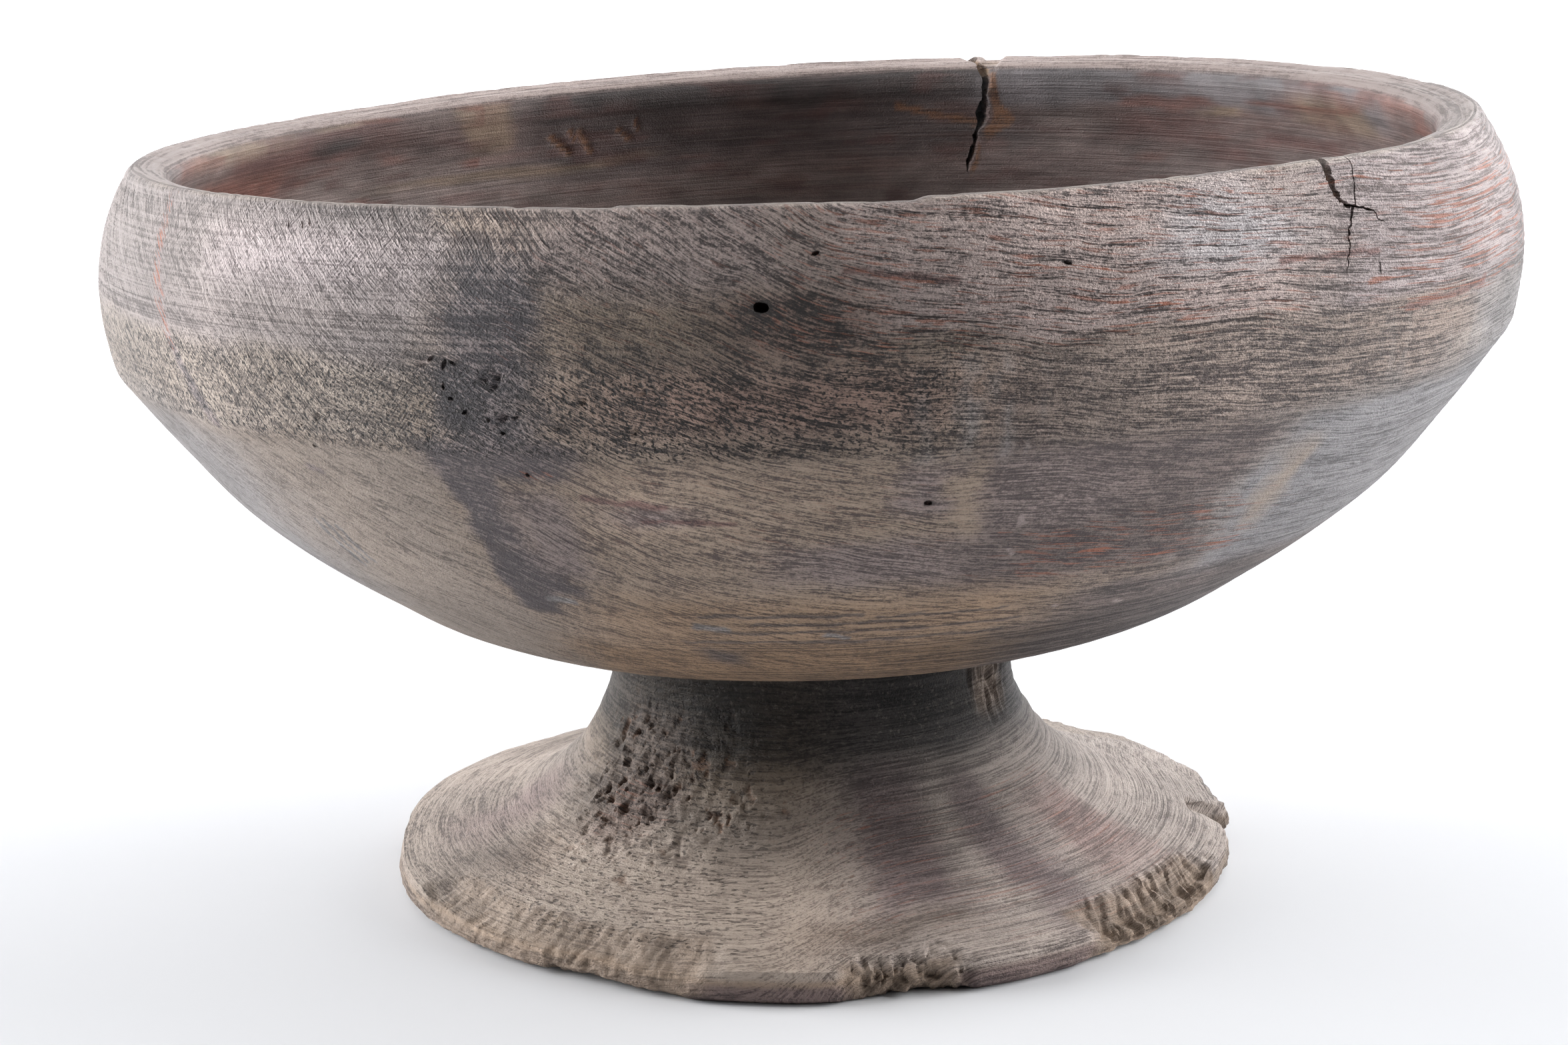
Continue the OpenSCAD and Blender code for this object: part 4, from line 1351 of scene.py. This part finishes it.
def wood_material(name, fineness=1.0, sheen=0.45):
    """Old dry wood, whose tones, grain, pores and red streaks are set by the mesh's attributes."""
    s = Shader(name)
    face, deep = s.attribute("face"), s.attribute("deep")
    marks = s.node("ShaderNodeSeparateXYZ", {0: s.attribute("marks").outputs["Vector"]})
    red, lines, hatched = marks.outputs[0], marks.outputs[1], marks.outputs[2]
    cover, pores = face.outputs["Alpha"], deep.outputs["Alpha"]
    wood, lathe = s.attribute("wood").outputs["Vector"], s.attribute("lathe").outputs["Vector"]
    hatch = s.attribute("hatch").outputs["Vector"]
    k = fineness

    rings = s.node("ShaderNodeSeparateXYZ", {0: s.attribute("rings").outputs["Vector"]})
    waves, grooved, crisp = rings.outputs[0], rings.outputs[1], rings.outputs[2]

    rings_fine = s.noise(wood, (26 * k, 8 * k, 0.30 * k), 2.0, 0.6)
    grain = s.noise(wood, (8 * k, 1.2 * k, 0.40 * k), 3.0, 0.65)
    broad = s.noise(wood, (34 * k, 8 * k, 1.2 * k), 2.0, 0.6)
    speckle = s.noise(lathe, (0.5 * k, 0.5 * k, 0.35 * k), 2.0, 0.7)
    mottle = s.noise(lathe, (1.5, 1.5, 1.1), 3.0, 0.7)
    blotch = s.noise(lathe, (9, 9, 6), 3.0, 0.6)
    turning = s.noise(lathe, (110, 110, 0.55 * k), 3.0, 0.65)
    one_way = s.noise(hatch, (0.6, 12, 9), 1.0)
    other_way = s.noise(hatch, (12, 0.6, 9), 1.0)
    crossed = s.math("MINIMUM", one_way, other_way)
    # thin dark grooves between the raised growth rings
    lows = s.add(s.scaled(waves, -1.0), s.scaled(rings_fine, 0.30), s.scaled(grain, 0.16))
    groove = s.scaled(s.step(lows, 0.42, 0.92), grooved)
    ridge = s.scaled(s.step(waves, 0.2, 0.8), grooved)

    field = s.add(
        s.scaled(rings_fine, 0.42),
        s.scaled(grain, 0.40),
        s.scaled(broad, 0.30),
        s.scaled(mottle, 0.26),
        s.scaled(speckle, 0.20),
        s.scaled(blotch, 0.18),
        s.scaled(s.scaled(turning, lines), 0.75),
        s.scaled(s.scaled(crossed, hatched), -0.65),
        s.scaled(groove, 0.55),
        s.scaled(ridge, -0.20),
    )
    # the share of dark moves the level that the field is cut at
    level = s.math("MULTIPLY_ADD", cover, -2.2)
    level.node.inputs[2].default_value = 1.1
    dark = s.step(s.math("SUBTRACT", field, level), -0.40, 0.44)
    colour = s.mix(dark, face.outputs["Color"], deep.outputs["Color"])
    # a little dust lies on the paler speckles
    dusty = s.step(mottle, 0.1, 1.3)
    colour = s.mix(s.scaled(dusty, 0.16), colour, DUST)
    streak = s.step(s.add(s.noise(wood, (20, 5, 0.45), 2.0), s.scaled(red, 0.52)), 0.70, 1.02)
    streak = s.scaled(s.math("MINIMUM", s.scaled(streak, red), 1.0), 0.92)
    colour = s.mix(streak, colour, REDDISH)
    holes = s.step(s.add(s.noise(wood, (3.2, 0.9, 0.55), 1.0), s.scaled(pores, 0.35)), 0.72, 1.05)
    holes = s.scaled(holes, pores)
    colour = s.mix(s.scaled(holes, 0.85), colour, PORE_DARK)
    colour = s.mix(s.scaled(groove, 0.42), colour, GROOVE_DARK)
    # the finest grain lightens and darkens every tone
    finest = s.add(s.scaled(rings_fine, -0.24), s.scaled(speckle, -0.20), s.scaled(grain, -0.14))
    finest = s.math("MAXIMUM", s.add(1.0, s.scaled(finest, crisp)), 0.3)
    colour = s.node("ShaderNodeVectorMath", {0: colour, "Scale": finest}, operation="SCALE").outputs[0]
    s.tree.links.new(colour, s.surface.inputs["Base Color"])

    rough = {"Value": field, "From Min": -1.0, "From Max": 1.0, "To Min": 0.54, "To Max": 0.72}
    s.tree.links.new(s.node("ShaderNodeMapRange", rough).outputs[0], s.surface.inputs["Roughness"])
    s.surface.inputs["Specular IOR Level"].default_value = sheen
    height = s.add(
        s.scaled(s.scaled(field, s.add(crisp, 0.4)), -0.00014 * k),
        s.scaled(s.scaled(speckle, crisp), -0.00007 * k),
        s.scaled(holes, -0.00030),
        s.scaled(groove, -0.00018),
    )
    bumped = s.node("ShaderNodeBump", {"Height": height, "Strength": 1.0, "Distance": 1.0})
    s.tree.links.new(bumped.outputs[0], s.surface.inputs["Normal"])
    return s.material


bowl_material = wood_material("bowl_wood")
foot_material = wood_material("foot_wood", fineness=1.25, sheen=0.22)
chip_material = wood_material("chip_wood")
for ob, material in ((bowl, bowl_material), (chip, chip_material), (foot, foot_material)):
    ob.data.materials.clear()
    ob.data.materials.append(material)
    ob.data.polygons.foreach_set("use_smooth", np.ones(len(ob.data.polygons), bool))
    ob.data.set_sharp_from_angle(angle=math.radians(50))
paint_bowl(bowl)
paint_bowl(chip)
paint_foot(foot)

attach(chip, "root")
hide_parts("rim_chip")
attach(bowl, "root")
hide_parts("bowl")
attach(foot, "root")
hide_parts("foot")

# ---------------------------------------------------------------- stage, light and camera
def floor_material():
    """A pale floor that gets brighter further back, as a sheet lit from behind does."""
    s = Shader("pale_floor")
    at = s.node("ShaderNodeTexCoord", {}).outputs["Object"]
    y = s.node("ShaderNodeSeparateXYZ", {0: at}).outputs[1]
    glow = {"Value": y, "From Min": 0.0, "From Max": 0.75, "To Min": 0.0, "To Max": 0.5}
    s.tree.links.new(s.node("ShaderNodeMapRange", glow).outputs[0], s.surface.inputs["Emission Strength"])
    s.surface.inputs["Emission Color"].default_value = (0.98, 0.99, 1.0, 1)
    s.surface.inputs["Base Color"].default_value = (0.672, 0.682, 0.706, 1)
    s.surface.inputs["Roughness"].default_value = 0.7
    s.surface.inputs["Specular IOR Level"].default_value = 0.1
    return s.material


def make_stage():
    """A pale floor that curves up into a pale backdrop."""
    half, near, back, high, curve = 4.0, -3.0, 1.6, 3.0, 0.8
    line = [(near, 0.0), (back - curve, 0.0)]
    line += [
        (back - curve + curve * math.sin(t), curve - curve * math.cos(t))
        for t in np.radians(np.arange(5, 91, 5))
    ]
    line.append((back, high))
    me = bpy.data.meshes.new("floor")
    verts = [(x, y, z) for y, z in line for x in (-half, half)]
    faces = [(2 * i, 2 * i + 1, 2 * i + 3, 2 * i + 2) for i in range(len(line) - 1)]
    me.from_pydata(verts, [], faces)
    me.polygons.foreach_set("use_smooth", np.ones(len(faces), bool))
    ob = bpy.data.objects.new("floor", me)
    bpy.context.scene.collection.objects.link(ob)
    me.materials.append(floor_material())


def softbox(name, at, aim, size, power):
    """A square light at a place, turned towards the aim."""
    light = bpy.data.lights.new(name, "AREA")
    light.shape = "SQUARE"
    light.size = size
    light.energy = power
    ob = bpy.data.objects.new(name, light)
    ob.location = at
    ob.rotation_euler = (Vector(aim) - Vector(at)).to_track_quat("-Z", "Y").to_euler()
    bpy.context.scene.collection.objects.link(ob)


make_stage()
LIGHTS = [
    # name, angle from the front, angle up, size, watts
    ("left_light", -96, 17, 1.1, 45),
    ("left_back_light", -150, 25, 1.0, 7),
    ("right_light", 85, 25, 1.2, 38),
    ("right_back_light", 148, 24, 1.0, 12),
]
LIGHTS_AIM = (0, 0, 0.12)
LIGHTS_AWAY, LIGHTS_FROM = 1.5, 0.1  # their distance from a point at this height on the middle line
for name, angle, up, size, watts in LIGHTS:
    flat = LIGHTS_AWAY * math.cos(math.radians(up))
    t = math.radians(angle - 90)
    at = (flat * math.cos(t), flat * math.sin(t), LIGHTS_FROM + LIGHTS_AWAY * math.sin(math.radians(up)))
    softbox(name, at, LIGHTS_AIM, size, watts)
world = bpy.data.worlds.new("studio")
world.use_nodes = True
sky = world.node_tree.nodes["Background"].inputs
sky["Color"].default_value = (1, 1, 1, 1)
sky["Strength"].default_value = 0.02
bpy.context.scene.world = world
bpy.context.scene.view_settings.view_transform = "Standard"

camera = bpy.data.cameras.new("camera")
camera.lens, camera.sensor_width = 61, 36
camera_ob = bpy.data.objects.new("camera", camera)
CAMERA_AT = (-0.0048, -0.6642, 0.238)
PITCH, ROLL = math.radians(12.77), math.radians(1.61)
turn = Matrix.Rotation(math.pi / 2 - PITCH, 4, "X") @ Matrix.Rotation(-ROLL, 4, "Z")
camera_ob.matrix_world = Matrix.Translation(CAMERA_AT) @ turn
bpy.context.scene.collection.objects.link(camera_ob)
bpy.context.scene.camera = camera_ob
